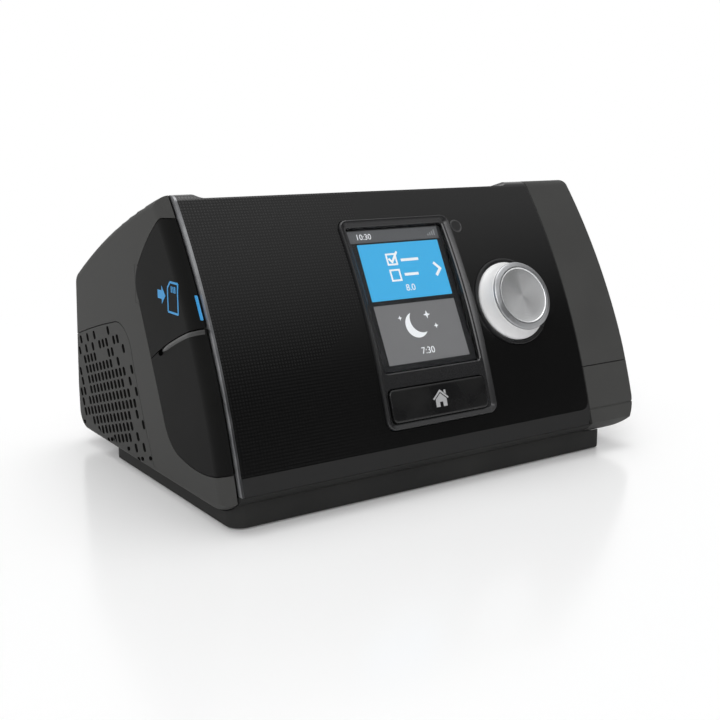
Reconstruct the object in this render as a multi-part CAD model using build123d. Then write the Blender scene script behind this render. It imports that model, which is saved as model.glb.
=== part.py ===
from build123d import *
import os
from math import atan, atan2, cos, hypot, pi, sin, sqrt

# Bedside breathing machine with a humidifier tub in its right-hand end.
# Millimetres. X runs along the front, +Y to the rear, +Z up.
# The origin lies on the table, under the middle of the machine.

# ----------------------------------------------------------------------------
# Driving dimensions
# ----------------------------------------------------------------------------
# Casing envelope
LENGTH = 205.0            # left end to right end
DEPTH = 150.0             # front lip to rear wall
HEIGHT = 116.0            # table to crest
UNDERSIDE = 6.0           # table to the underside of the casing

# Side outline of the casing
LIP_HEIGHT = 14.0         # lower edge of the fascia
CREASE_HEIGHT = 20.5      # crease where the lip turns into the front face
CREASE_BACK = 2.0         # crease behind the lip
CREST_BACK = 48.4         # crest corner behind the lip
FACE_BULGE = 5.3          # rise of the front face over its chord
CREST_ROUND = 5.0
SLOPE_BULGE = 3.8         # rise of the rear slope over its chord
SHOULDER_HEIGHT = 76.3    # corner between rear slope and rear wall
SHOULDER_IN = 4.0         # that corner, in from the rear
SHOULDER_ROUND = 6.5
KNEE_HEIGHT = 27.0        # below this the rear wall is upright
HEEL_ROUND = 9.0
BELLY_BACK = 19.0         # where the belly curve reaches the underside
BELLY_BULGE = 2.4

# Walls, gaps and rounds
WALL = 2.2                # moulded walls of the casing
COVER_WALL = 2.2          # flush covers on the left end
PANEL_GAP = 0.4           # visible gap between panels
FIT_GAP = 0.2             # hidden gap between stacked shells
CORNER_ROUND = 11.0       # front left corner, seen from above
END_ROUND = 3.0           # other edges of the left end
TUB_END_ROUND = 3.5       # edges of the right end

# Lengthways stations
FASCIA_LEFT = 4.0         # fascia's left edge, in from the left end
FASCIA_RIGHT = 29.3       # fascia's right edge, in from the right end
TRIM_WIDTH = 0.9          # bright strip on the fascia's left edge
TRIM_DEPTH = 3.6          # how deep it reaches beside the rounded corner
TUB_END_START = 28.9      # parting of the tub's end cover, in from the right end

# Recess in the top
RECESS_DEPTH = 2.5
RECESS_LEFT = 11.5        # from the left end
RECESS_RIGHT = 38.5       # from the right end
RECESS_BACK = 127.0       # where it fades out, behind the lip
RECESS_RAMP = 5.0         # round at its ends
FASCIA_TOP = 73.0         # fascia's rear edge on the top, behind the lip

# Base
FOOT_LEFT = 2.9           # foot's left side, in from the left end
FOOT_RIGHT = 16.6         # foot's right side, in from the right end
FOOT_FRONT = 5.0          # foot's front, behind the lip
FOOT_LENGTH = 110.4       # front to back
FOOT_ROUND = 6.0
FOOT_WALL = 2.2
FOOT_TOP = 5.6
PLATE_TOP = 8.4           # top of the chassis plate
PAD_RADIUS = 6.0
PAD_PROUD = 0.8           # rubber feet below the foot
PAD_SET = 1.0             # rubber feet let into the foot

# Display, home button and light sensor, placed along the face from the crease
BEZEL_X = -6.2
BEZEL_S = 49.0
BEZEL_WIDTH = 54.8
BEZEL_HEIGHT = 85.6
BEZEL_PROUD = 1.25
BEZEL_ROUND = 4.0
WINDOW_X = -6.3
WINDOW_S = 58.5
WINDOW_WIDTH = 49.6
WINDOW_HEIGHT = 62.4
WINDOW_DRAFT = 14.0       # degrees, bevel of the window's sides
LENS_DEPTH = 2.1
LENS_THICKNESS = 1.1
LCD_THICKNESS = 3.8
HOME_X = -6.8
HOME_S = 15.3
HOME_WIDTH = 47.4
HOME_HEIGHT = 12.9
HOME_GAP = 0.5
HOME_PROUD = 1.0
HOME_TRAVEL = 0.8
SENSOR_X = 24.8
SENSOR_S = 86.5
SENSOR_RADIUS = 2.3

# Dial
DIAL_X = 41.5
DIAL_S = 50.9
DIAL_RING_RADIUS = 18.9
DIAL_RING_WIDTH = 1.5
DIAL_RING_PROUD = 0.5
KNOB_BASE_RADIUS = 17.0
KNOB_TOP_RADIUS = 14.7
KNOB_HEIGHT = 8.5
CAP_RADIUS = 12.1
SHAFT_RADIUS = 3.0
RUNNING_FIT = 0.05
DIAL_TRAVEL = 1.0

# Start and stop button
START_X = 4.0
START_BACK = 62.5         # behind the lip
START_LENGTH = 50.0
START_WIDTH = 15.0
START_PROUD = 1.0
START_TRAVEL = 1.0

# Humidifier tub and its bay
TUB_IN = 106.5            # tub's left wall, in from the left end
TUB_WALL = 2.0
TUB_CLEAR = 1.0           # tub to bay, all round
BAY_WALL = 2.0
TUB_FLOOR = 14.0
TUB_RIM = 69.0
TUB_TOP = 78.0
TUB_SEAL = 1.5
TUB_BACK_LOW = 27.0       # tub's front wall behind the lip, at its floor
TUB_BACK_HIGH = 51.0      # and at its top
TUB_REAR_IN = 17.0        # tub's rear wall, in from the rear
TUB_REAR_HIGH_IN = 25.0   # and at its top
TUB_REAR_KNEE = 66.0
TUB_ROUND = 6.0
PORT_Z = 62.0
INLET_PORT_IN = 65.0      # ports, in from the rear
OUTLET_PORT_IN = 35.0
PORT_RADIUS = 8.0
HEATER_MARGIN_X = 11.8    # heater plate inside the tub's floor
HEATER_MARGIN_Y = 12.0
TUB_SPLIT = 38.0          # seam round the tub's end cover

# Air outlet
OUTLET_IN = 76.5          # in from the left end
OUTLET_Z = 62.0
OUTLET_RADIUS = 11.0      # 22 mm conical-connector standard size
OUTLET_BORE = 8.6
OUTLET_SHOULDER = 13.0    # radius of the seat behind the tube
OUTLET_SHOULDER_PROUD = 0.8
OUTLET_CUP_RADIUS = 19.0
OUTLET_CUP_DEPTH = 22.0

# Blower and its silencer box
BOX_IN = 12.5             # in from the left end
BOX_LENGTH = 74.0
BOX_REAR_IN = 31.0        # in from the rear
BOX_DEPTH = 69.0
BOX_FLOOR = 12.0
BOX_TOP = 52.0
BOX_WALL = 2.0
VOLUTE_RADIUS = 30.0
VOLUTE_LOW = 18.0
VOLUTE_SPLIT = 31.0
VOLUTE_HIGH = 42.0
NECK_RADIUS = 7.5
IMPELLER_RADIUS = 24.0
BLADE_COUNT = 11

# Power inlet and its cord clip
POWER_IN = 42.5           # in from the left end
POWER_Z = 22.0

# Main board, behind the face
BOARD_DEPTH = 13.0
BOARD_THICKNESS = 1.6
BOARD_IN_LEFT = 18.5      # in from the left end
BOARD_IN_RIGHT = 11.2     # in from the body's right end
BOARD_LOW = -36.0
BOARD_HIGH = 40.0

# Memory card
CARD_LENGTH = 32.0
CARD_WIDTH = 24.0
CARD_THICKNESS = 2.1
CARD_V = 24.0             # middle of the card, up the board
CARD_TRAVEL = 1.0

# Inlet grille
SLOT_LONG = 3.1
SLOT_SHORT = 1.7
SLOT_CHAMFER = 0.55
GRILLE_ORIGIN = (65.2, 15.2)
GRILLE_ROW = (-0.963, 0.269)      # direction along a row, seen as (Y, Z)
GRILLE_ROW_PITCH = 4.25
GRILLE_COLUMN = (-0.413, -0.911)
GRILLE_COLUMN_PITCH = 4.6

# Hinge of the card cover
HINGE_BELOW = 1.3         # axis below the outer surface
HINGE_Y = 0.8
KNUCKLE_RADIUS = 1.2
PIN_RADIUS = 0.6

# Screws
SCREW_RADIUS = 1.4
SCREW_HEAD_RADIUS = 2.8
SCREW_HEAD = 1.8

# ----------------------------------------------------------------------------
# Stations worked out from the driving dimensions
# ----------------------------------------------------------------------------
X_LEFT = -LENGTH / 2
X_RIGHT = LENGTH / 2
Y_FRONT = -DEPTH / 2
Y_REAR = DEPTH / 2
X_FASCIA = X_LEFT + FASCIA_LEFT
X_BODY_END = X_RIGHT - FASCIA_RIGHT
X_TUB_END = X_RIGHT - TUB_END_START
X_MID = X_LEFT + 22.0             # rounded end form meets the plain middle here
Y_FAR_FRONT = Y_FRONT - 5.0       # clear of the casing, for cuts
Y_FAR_REAR = Y_REAR + 5.0
START_Y = Y_FRONT + START_BACK
TUB_LEFT = X_LEFT + TUB_IN
TUB_FRONT_LOW = Y_FRONT + TUB_BACK_LOW
TUB_FRONT_HIGH = Y_FRONT + TUB_BACK_HIGH
TUB_REAR = Y_REAR - TUB_REAR_IN
TUB_REAR_HIGH = Y_REAR - TUB_REAR_HIGH_IN
INLET_PORT_Y = Y_REAR - INLET_PORT_IN
OUTLET_PORT_Y = Y_REAR - OUTLET_PORT_IN
HEATER_LENGTH = X_TUB_END - TUB_LEFT - 2 * HEATER_MARGIN_X
HEATER_WIDTH = TUB_REAR - TUB_FRONT_LOW - 2 * HEATER_MARGIN_Y
HEATER_X = (X_TUB_END + TUB_LEFT) / 2
HEATER_Y = (TUB_REAR + TUB_FRONT_LOW) / 2
OUTLET_X = X_LEFT + OUTLET_IN
OUTLET_CUP_FLOOR = Y_REAR - OUTLET_CUP_DEPTH
BOX_LEFT = X_LEFT + BOX_IN
BOX_RIGHT = BOX_LEFT + BOX_LENGTH
BOX_REAR = Y_REAR - BOX_REAR_IN
BOX_FRONT = BOX_REAR - BOX_DEPTH
BLOWER_X = (BOX_LEFT + BOX_RIGHT) / 2
BLOWER_Y = (BOX_FRONT + BOX_REAR) / 2
POWER_X = X_LEFT + POWER_IN
BOARD_LEFT = X_LEFT + BOARD_IN_LEFT
BOARD_RIGHT = X_BODY_END - BOARD_IN_RIGHT


def bulge_mid(a, b, rise):
    """Middle of the arc from a to b that stands `rise` to the left of its chord."""
    length = hypot(b[0] - a[0], b[1] - a[1])
    left = (-(b[1] - a[1]) / length, (b[0] - a[0]) / length)
    return ((a[0] + b[0]) / 2 + rise * left[0], (a[1] + b[1]) / 2 + rise * left[1])


def bulge_arc(a, b, rise):
    return ThreePointArc(a, bulge_mid(a, b, rise), b)


def bulge_circle(a, b, rise):
    """Centre and radius of that arc."""
    half = hypot(b[0] - a[0], b[1] - a[1]) / 2
    radius = (half * half + rise * rise) / (2 * rise)
    top = bulge_mid(a, b, rise)
    base = ((a[0] + b[0]) / 2, (a[1] + b[1]) / 2)
    share = radius / rise
    return (top[0] + (base[0] - top[0]) * share, top[1] + (base[1] - top[1]) * share), radius


def crest_lift():
    """How far the sharp crest corner stands above its rounded top."""
    crease = (Y_FRONT + CREASE_BACK, CREASE_HEIGHT)
    crest = (Y_FRONT + CREST_BACK, HEIGHT)
    shoulder = (Y_REAR - SHOULDER_IN, SHOULDER_HEIGHT)
    face = atan2(crest[1] - crease[1], crest[0] - crease[0])
    face -= 2 * atan(2 * FACE_BULGE / hypot(crest[0] - crease[0], crest[1] - crease[1]))
    slope = atan2(shoulder[1] - crest[1], shoulder[0] - crest[0])
    slope += 2 * atan(2 * SLOPE_BULGE / hypot(shoulder[0] - crest[0], shoulder[1] - crest[1]))
    return CREST_ROUND * (cos((face + slope) / 2) / cos((face - slope) / 2) - 1)


LIP = (Y_FRONT, LIP_HEIGHT)
CREASE = (Y_FRONT + CREASE_BACK, CREASE_HEIGHT)
CREST = (Y_FRONT + CREST_BACK, HEIGHT + crest_lift())
SHOULDER = (Y_REAR - SHOULDER_IN, SHOULDER_HEIGHT)
KNEE = (Y_REAR, KNEE_HEIGHT)
HEEL = (Y_REAR, UNDERSIDE)
BELLY = (Y_FRONT + BELLY_BACK, UNDERSIDE)
FACE_CENTRE, FACE_RADIUS = bulge_circle(CREASE, CREST, FACE_BULGE)
SLOPE_CENTRE, SLOPE_RADIUS = bulge_circle(CREST, SHOULDER, SLOPE_BULGE)
FACE_START = atan2(CREASE[1] - FACE_CENTRE[1], CREASE[0] - FACE_CENTRE[0])


# ----------------------------------------------------------------------------
# Helpers
# ----------------------------------------------------------------------------
def slope_z(y):
    """Height of the rear slope at y."""
    return SLOPE_CENTRE[1] + sqrt(SLOPE_RADIUS ** 2 - (y - SLOPE_CENTRE[0]) ** 2)


RECESS_POINTS = (
    (CREST[0] - 12.0, slope_z(CREST[0] - 12.0) - RECESS_DEPTH),
    ((CREST[0] + Y_FRONT + RECESS_BACK) / 2,
     slope_z((CREST[0] + Y_FRONT + RECESS_BACK) / 2) - RECESS_DEPTH * 0.55),
    (Y_FRONT + RECESS_BACK, slope_z(Y_FRONT + RECESS_BACK)),
)


def circle_through(a, b, c):
    """Centre and radius of the circle through three points."""
    d = 2 * (a[0] * (b[1] - c[1]) + b[0] * (c[1] - a[1]) + c[0] * (a[1] - b[1]))
    squares = [p[0] ** 2 + p[1] ** 2 for p in (a, b, c)]
    y = (squares[0] * (b[1] - c[1]) + squares[1] * (c[1] - a[1]) + squares[2] * (a[1] - b[1])) / d
    z = (squares[0] * (c[0] - b[0]) + squares[1] * (a[0] - c[0]) + squares[2] * (b[0] - a[0])) / d
    return (y, z), hypot(a[0] - y, a[1] - z)


RECESS_CENTRE, RECESS_RADIUS = circle_through(*RECESS_POINTS)


def face_plane(x, s, out=0.0):
    """Plane on the front face at arc length s above the crease; its Z points outwards."""
    angle = FACE_START - s / FACE_RADIUS
    radius = FACE_RADIUS + out
    origin = (x, FACE_CENTRE[0] + radius * cos(angle), FACE_CENTRE[1] + radius * sin(angle))
    return Plane(origin=origin, x_dir=(1, 0, 0), z_dir=(0, cos(angle), sin(angle)))


def recess_plane(x, y):
    """Plane on the floor of the top recess; its Z points outwards."""
    angle = atan2(sqrt(RECESS_RADIUS ** 2 - (y - RECESS_CENTRE[0]) ** 2), y - RECESS_CENTRE[0])
    origin = (x, y, RECESS_CENTRE[1] + RECESS_RADIUS * sin(angle))
    return Plane(origin=origin, x_dir=(1, 0, 0), z_dir=(0, cos(angle), sin(angle)))


def prism(face, x0, x1):
    """Extrude an outline drawn as (Y, Z) from x0 to x1."""
    return extrude(Plane.YZ.offset(x0) * face, amount=x1 - x0)


def slab(plane, shape, low, high):
    """Extrude a flat shape drawn on a plane from height low to height high above it."""
    return extrude(plane.offset(low) * shape, amount=high - low)


def box(x0, x1, y0, y1, z0, z1):
    return Pos((x0 + x1) / 2, (y0 + y1) / 2, (z0 + z1) / 2) * Box(x1 - x0, y1 - y0, z1 - z0)


def rod(radius, start, end):
    """Round bar from start to end."""
    along = Vector(*end) - Vector(*start)
    plane = Plane(origin=start, z_dir=along)
    return extrude(plane * Circle(radius), amount=along.length)


def tube(outer, inner, start, end):
    return rod(outer, start, end) - rod(inner, start, end)


def polygon(points):
    return make_face(Polyline(*points, close=True))


def arc_band(centre, radius, angle0, angle1, low, high):
    """Ring sector between two heights over a circle, drawn as (Y, Z)."""
    def at(angle, height):
        reach = radius + height
        return (centre[0] + reach * cos(angle), centre[1] + reach * sin(angle))

    middle = (angle0 + angle1) / 2
    edges = [
        ThreePointArc(at(angle0, high), at(middle, high), at(angle1, high)),
        Line(at(angle1, high), at(angle1, low)),
        ThreePointArc(at(angle1, low), at(middle, low), at(angle0, low)),
        Line(at(angle0, low), at(angle0, high)),
    ]
    return make_face(edges)


def face_band(low, high, x0, x1):
    """Curved slab that follows the front face."""
    span = 1.3 * hypot(CREST[0] - CREASE[0], CREST[1] - CREASE[1]) / FACE_RADIUS
    top = FACE_START - span
    bottom = FACE_START + 0.1
    return prism(arc_band(FACE_CENTRE, FACE_RADIUS, bottom, top, low, high), x0, x1)


def recess_band(low, high, x0, x1):
    """Curved slab that follows the floor of the top recess."""
    points = [atan2(p[1] - RECESS_CENTRE[1], p[0] - RECESS_CENTRE[0]) for p in RECESS_POINTS]
    return prism(arc_band(RECESS_CENTRE, RECESS_RADIUS, points[0], points[2], low, high), x0, x1)


def rounded(face, radii):
    """Round the corners of an outline: radii is a list of (corner, radius)."""
    for corner, radius in radii:
        vertex = face.vertices().sort_by_distance((corner[0], corner[1], 0))[0]
        face = fillet(vertex, radius)
    return face


def inset(face, amount):
    return offset(face, amount=-amount) if amount else face


# ----------------------------------------------------------------------------
# Outlines of the casing
# ----------------------------------------------------------------------------
def side_outline():
    """Outline of the casing seen from the right-hand end, as (Y, Z)."""
    face = make_face([
        Line(LIP, CREASE),
        bulge_arc(CREASE, CREST, FACE_BULGE),
        bulge_arc(CREST, SHOULDER, SLOPE_BULGE),
        Line(SHOULDER, KNEE),
        Line(KNEE, HEEL),
        Line(HEEL, BELLY),
        bulge_arc(BELLY, LIP, BELLY_BULGE),
    ])
    return rounded(face, [(CREST, CREST_ROUND), (SHOULDER, SHOULDER_ROUND), (HEEL, HEEL_ROUND)])


def recess_outline():
    """Area above the floor of the top recess."""
    start, middle, end = RECESS_POINTS
    ceiling = HEIGHT + 20.0
    return make_face([
        ThreePointArc(start, middle, end),
        Line(end, (end[0], ceiling)),
        Line((end[0], ceiling), (start[0], ceiling)),
        Line((start[0], ceiling), start),
    ])


OUTLINE = side_outline()
LOW_OUTLINE = OUTLINE - recess_outline()


CORNER_SWEEP_START = 0.7          # radians below the crease
CORNER_SWEEP = 110.0              # degrees, wide enough for the whole end


def end_form(amount=0.0):
    """Left end of the casing, with its rounded front corner, drawn in by an amount."""
    x0 = X_LEFT + amount
    form = prism(inset(OUTLINE, amount), x0, X_MID)
    if END_ROUND > amount + 0.3:
        rim = form.faces().sort_by(Axis.X)[0].edges()
        form = fillet(rim, END_ROUND - amount)
    corner = CORNER_ROUND - amount
    reach = FACE_RADIUS - amount
    start = FACE_START + CORNER_SWEEP_START
    plane = Plane(origin=(0, *FACE_CENTRE), x_dir=(1, 0, 0), z_dir=(0, -sin(start), cos(start)))
    profile = polygon([(x0, 20.0), (X_MID + 5.0, 20.0), (X_MID + 5.0, reach), (x0, reach)])
    profile = rounded(profile, [((x0, reach), corner)])
    axis = Axis((0, *FACE_CENTRE), (1, 0, 0))
    return form & revolve(plane * profile, axis, -CORNER_SWEEP)


def end_skin(outer, inner):
    """Skin of the left end between two depths below its surface."""
    return end_form(outer) - end_form(inner)


def recess_cutter():
    """What the top recess takes away, with ramps at both ends."""
    cutter = prism(recess_outline(), X_LEFT + RECESS_LEFT, X_RIGHT - RECESS_RIGHT)
    floor = [e for e in cutter.edges() if e.geom_type == GeomType.CIRCLE]
    return fillet(floor, RECESS_RAMP)


RECESS = recess_cutter()


# ----------------------------------------------------------------------------
# Outlines of the covers on the left end, drawn as (Y, Z)
# ----------------------------------------------------------------------------
LEAF_CREST = [(Y_FAR_FRONT, 110.0), (-23.1, 107.8), (-12.6, 100.2), (-1.7, 89.0)]
LEAF_TAIL = [(2.1, 80.6), (-0.8, 73.6)]
LEAF_REAR = [(-11.0, 51.2), (-21.0, 28.4)]
LEAF_HEEL = [(-26.6, 21.9), (-35.0, 18.8)]
LEAF_FOOT = [(-50.0, 17.4), (-64.6, 19.4), (Y_FAR_FRONT, 24.0)]
SPLIT_REAR = (-9.5, 52.5)
SPLIT_MIDDLE = (-41.7, 67.8)
SPLIT_FRONT = (Y_FAR_FRONT, 77.0)
FILTER_TOP = [(Y_FAR_REAR, 47.0), (50.0, 56.2), (27.0, 61.8)]
FILTER_NOSE = [(15.6, 60.7), (9.3, 53.6)]
FILTER_FRONT = [(2.2, 33.6), (-9.6, 7.9), (-11.0, 2.0), (Y_FAR_REAR, 2.0)]


def leaf_outline():
    """Outline of the two front covers together."""
    return make_face([
        Line(LEAF_CREST[0], LEAF_CREST[1]),
        ThreePointArc(*LEAF_CREST[1:]),
        ThreePointArc(LEAF_CREST[-1], *LEAF_TAIL),
        ThreePointArc(LEAF_TAIL[-1], *LEAF_REAR),
        ThreePointArc(LEAF_REAR[-1], *LEAF_HEEL),
        ThreePointArc(LEAF_HEEL[-1], *LEAF_FOOT[:2]),
        Polyline(*LEAF_FOOT[1:], LEAF_CREST[0]),
    ])


def above_split():
    """Area above the seam between the two front covers."""
    return make_face([
        ThreePointArc(SPLIT_FRONT, SPLIT_MIDDLE, SPLIT_REAR),
        Polyline(SPLIT_REAR, (20.0, 40.0), (20.0, 120.0), (SPLIT_FRONT[0], 120.0), SPLIT_FRONT),
    ])


def filter_outline():
    """Outline of the rear cover, which carries the grille."""
    return make_face([
        ThreePointArc(*FILTER_TOP),
        ThreePointArc(FILTER_TOP[-1], *FILTER_NOSE),
        ThreePointArc(FILTER_NOSE[-1], *FILTER_FRONT[:2]),
        Polyline(*FILTER_FRONT[1:], FILTER_TOP[0]),
    ])


def grille_places():
    """Row by row, where the grille has a slot: {row: columns}."""
    return {
        -7: [3, 5, 7, 11],
        -6: [2, 4, 6, 8, 9, 10, 12, 13],
        -5: [3, 4, 5, 6, 10, 11, 14],
        -4: [1, *range(3, 11), 12],
        -3: [1, *range(3, 14), 15],
        -2: [0, 1, *range(3, 13), 14],
        -1: [0, *range(2, 14), 15],
        0: [*range(0, 15)],
        1: [-1, *range(2, 13), 14],
        2: [*range(3, 13), 15],
        3: [*range(5, 12), 13],
        4: [10, 12, 14],
        5: [12, 13, 15],
    }


def slot_outline():
    """One slot: a bar with cut corners, lying along the grille's row."""
    length, width, cut = SLOT_LONG / 2, SLOT_SHORT / 2, SLOT_CHAMFER
    corners = [(length, width - cut), (length - cut, width), (cut - length, width), (-length, width - cut),
               (-length, cut - width), (cut - length, -width), (length - cut, -width), (length, cut - width)]
    return polygon(corners)


def grille_slots():
    angle = atan2(GRILLE_ROW[1], GRILLE_ROW[0]) * 180 / pi
    slots = []
    for row, columns in grille_places().items():
        for column in columns:
            y = GRILLE_ORIGIN[0] + column * GRILLE_ROW_PITCH * GRILLE_ROW[0]
            z = GRILLE_ORIGIN[1] + column * GRILLE_ROW_PITCH * GRILLE_ROW[1]
            y += row * GRILLE_COLUMN_PITCH * GRILLE_COLUMN[0]
            z += row * GRILLE_COLUMN_PITCH * GRILLE_COLUMN[1]
            slots.append(Pos(y, z) * Rot(0, 0, angle) * slot_outline())
    return slots


# ----------------------------------------------------------------------------
# Left end covers
# ----------------------------------------------------------------------------
X_COVER_EDGE = X_FASCIA - PANEL_GAP           # covers stop here, beside the trim strip
HINGE_X = X_LEFT + HINGE_BELOW
FILTER_WRAP = 10.0                # how far the rear cover reaches round the rear corner
HINGE_LOW = 77.0                  # knuckle, well and pin, from the middle outwards
HINGE_HIGH = 84.0
WELL_RADIUS = 1.9
WELL_MORE = 4.0
PIN_MORE = 6.2
SKIN = end_skin(0.0, COVER_WALL)
POCKET_SKIN = end_skin(-1.0, COVER_WALL + FIT_GAP)


def hinge_rod(radius, low, high):
    return rod(radius, (HINGE_X, HINGE_Y, low), (HINGE_X, HINGE_Y, high))


def card_cover():
    """Upper front cover over the memory card, with a knuckle on its rear edge."""
    area = inset(leaf_outline(), PANEL_GAP) & above_split()
    cover = SKIN & prism(area, X_LEFT - 1, X_COVER_EDGE)
    cover += hinge_rod(KNUCKLE_RADIUS, HINGE_LOW, HINGE_HIGH)
    return cover - hinge_rod(PIN_RADIUS + RUNNING_FIT, HINGE_LOW - PIN_MORE, HINGE_HIGH + PIN_MORE)


def card_cover_pin():
    return hinge_rod(PIN_RADIUS, HINGE_LOW - PIN_MORE, HINGE_HIGH + PIN_MORE)


def adapter_cover():
    """Lower front cover over the adapter bay, with two catches inside."""
    area = inset(leaf_outline(), PANEL_GAP) - offset(above_split(), amount=PANEL_GAP)
    cover = SKIN & prism(area, X_LEFT - 1, X_COVER_EDGE)
    catches = [box(X_LEFT + COVER_WALL, X_LEFT + 5.6, y - 3, y + 3, z, z + 1.4)
               for y, z in ((-41.0, 27.4), (-41.0, 47.2))]
    return cover + catches


def filter_cover():
    """Rear cover with the inlet grille; it wraps round the rear corner."""
    area = inset(filter_outline(), PANEL_GAP)
    cover = SKIN & prism(area, X_LEFT - 1, X_LEFT + FILTER_WRAP)
    slots = [prism(slot, X_LEFT - 1, X_LEFT + 5.0) for slot in grille_slots()]
    plate = box(WINDOW_X0 - 1.0, X_LEFT + FILTER_WRAP + 1.0, -30.0, WINDOW_Y1 + 1.0, 0.0, PLATE_TOP + 1.0)
    return cover - [*slots, plate]


def cover_pockets():
    """What the housing gives up for the flush covers and the card cover's hinge."""
    leaf = POCKET_SKIN & prism(leaf_outline(), X_LEFT - 2, X_COVER_EDGE + 0.01)
    rear = POCKET_SKIN & prism(filter_outline(), X_LEFT - 2, X_LEFT + FILTER_WRAP + PANEL_GAP)
    well = hinge_rod(WELL_RADIUS, HINGE_LOW - WELL_MORE, HINGE_HIGH + WELL_MORE)
    return [leaf, rear, well]


# ----------------------------------------------------------------------------
# Housing
# ----------------------------------------------------------------------------
DEEP = WALL + FIT_GAP                     # top of the housing's own front wall
END_WALL = 4.6                            # left end wall, with room for the covers
BOSS_RADIUS = 3.5
POST_RADIUS = 3.0
BOARD_SCREWS = [(BOARD_LEFT + 6.0, BOARD_LOW + 6.0), (BOARD_LEFT + 24.0, BOARD_HIGH - 6.0),
                (BOARD_RIGHT - 6.0, BOARD_LOW + 6.0), (BOARD_RIGHT - 6.0, BOARD_HIGH - 6.0)]
BASE_SCREWS = [(X_LEFT + 42.5, Y_FRONT + 17.0), (X_BODY_END - 13.2, Y_FRONT + 17.0),
               (X_LEFT + 17.5, Y_REAR - 17.0), (X_LEFT + 84.5, Y_REAR - 17.0)]
START_SCREWS = [-16.0, 16.0]
START_BOARD_DEPTH = 10.6
WINDOW_X0, WINDOW_X1 = X_LEFT + 5.5, X_BODY_END - 3.2     # bottom window
WINDOW_Y0, WINDOW_Y1 = Y_FRONT + 21.0, Y_REAR - 9.5
CUP_WALL = 2.0
POWER_WIDTH, POWER_TALL = 24.0, 21.0
POWER_FLOOR = Y_REAR - 11.0
CLIP_WIDTH, CLIP_LOW, CLIP_HIGH = 27.0, 33.4, 52.5
CLIP_FLOOR = Y_REAR - 4.8
CLIP_AXIS = (Y_REAR - 2.8, 35.6)
FILTER_BAY = (Y_REAR - 55.0, Y_REAR - 5.4, 12.2, 46.4)     # y0, y1, z0, z1
ADAPTER_FLOOR = X_LEFT + 14.5
ADAPTER_BAY = (Y_FRONT + 21.0, Y_FRONT + 47.0, 26.0, 50.0)
TUB_SECTION = [(TUB_FRONT_LOW, TUB_FLOOR), (TUB_REAR, TUB_FLOOR), (TUB_REAR, TUB_REAR_KNEE),
               (TUB_REAR_HIGH, TUB_TOP), (TUB_FRONT_HIGH, TUB_TOP)]


def tub_outline():
    face = polygon(TUB_SECTION)
    return fillet(face.vertices(), TUB_ROUND)


def grown(face, amount):
    return offset(face, amount=amount)


BLANK = 400.0             # wider and taller than the whole machine


def front_cut():
    """Room for the fascia in front of the housing's own front wall."""
    outside = grown(OUTLINE, 3.0) - inset(LOW_OUTLINE, DEEP)
    limit = Pos(-100, 0) * Rectangle(
        2 * (Y_FRONT + FASCIA_TOP + 100 + PANEL_GAP), BLANK, align=(Align.CENTER, Align.CENTER))
    groove = (grown(OUTLINE, 3.0) - inset(OUTLINE, TRIM_DEPTH + FIT_GAP)) & limit
    return [prism(outside & limit, X_FASCIA - PANEL_GAP, X_BODY_END + 5),
            prism(groove, X_FASCIA - PANEL_GAP, X_FASCIA + TRIM_WIDTH + 0.1)]


def housing_cavity():
    """Inside of the housing: thin walls, set deeper under the fascia."""
    behind = Y_FRONT + FASCIA_TOP + WALL
    thin = inset(LOW_OUTLINE, DEEP) & Pos(behind + 100, 50) * Rectangle(200, 200)
    section = thin + inset(LOW_OUTLINE, DEEP + WALL)
    window = box(WINDOW_X0, WINDOW_X1, WINDOW_Y0, WINDOW_Y1, 0.0, PLATE_TOP + 4.0)
    return prism(section, X_MID - 0.5, X_BODY_END - WALL) + end_form(END_WALL) + window


def housing_cups():
    """Round pocket of the air outlet, socket pocket and clip recess, as solid bosses."""
    outlet = rod(OUTLET_CUP_RADIUS + CUP_WALL, (OUTLET_X, OUTLET_CUP_FLOOR - CUP_WALL, OUTLET_Z),
                 (OUTLET_X, Y_FAR_REAR, OUTLET_Z))
    socket = box(POWER_X - POWER_WIDTH / 2 - CUP_WALL, POWER_X + POWER_WIDTH / 2 + CUP_WALL,
                 POWER_FLOOR - CUP_WALL, Y_FAR_REAR,
                 POWER_Z - POWER_TALL / 2 - CUP_WALL, POWER_Z + POWER_TALL / 2 + CUP_WALL)
    clip = box(POWER_X - CLIP_WIDTH / 2 - CUP_WALL, POWER_X + CLIP_WIDTH / 2 + CUP_WALL,
               CLIP_FLOOR - CUP_WALL, Y_FAR_REAR, CLIP_LOW - 1.0, CLIP_HIGH + CUP_WALL)
    return [outlet, socket, clip]


def housing_pockets():
    outlet = rod(OUTLET_CUP_RADIUS, (OUTLET_X, OUTLET_CUP_FLOOR, OUTLET_Z), (OUTLET_X, Y_FAR_REAR, OUTLET_Z))
    port = rod(OUTLET_SHOULDER + FIT_GAP, (OUTLET_X, OUTLET_CUP_FLOOR - 10.0, OUTLET_Z),
               (OUTLET_X, OUTLET_CUP_FLOOR + 1.0, OUTLET_Z))
    socket = box(POWER_X - POWER_WIDTH / 2, POWER_X + POWER_WIDTH / 2, POWER_FLOOR, Y_FAR_REAR,
                 POWER_Z - POWER_TALL / 2, POWER_Z + POWER_TALL / 2)
    inlet = box(POWER_X - 10.2, POWER_X + 10.2, POWER_FLOOR - 14.0, POWER_FLOOR + 6.0,
                POWER_Z - 6.2, POWER_Z + 6.2)
    clip = box(POWER_X - CLIP_WIDTH / 2, POWER_X + CLIP_WIDTH / 2, CLIP_FLOOR, Y_FAR_REAR,
               CLIP_LOW, CLIP_HIGH)
    reach = CLIP_WIDTH / 2 + 1.4
    pivot = rod(1.05, (POWER_X - reach, *CLIP_AXIS), (POWER_X + reach, *CLIP_AXIS))
    return [outlet, port, socket, inlet, clip, pivot]


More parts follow.
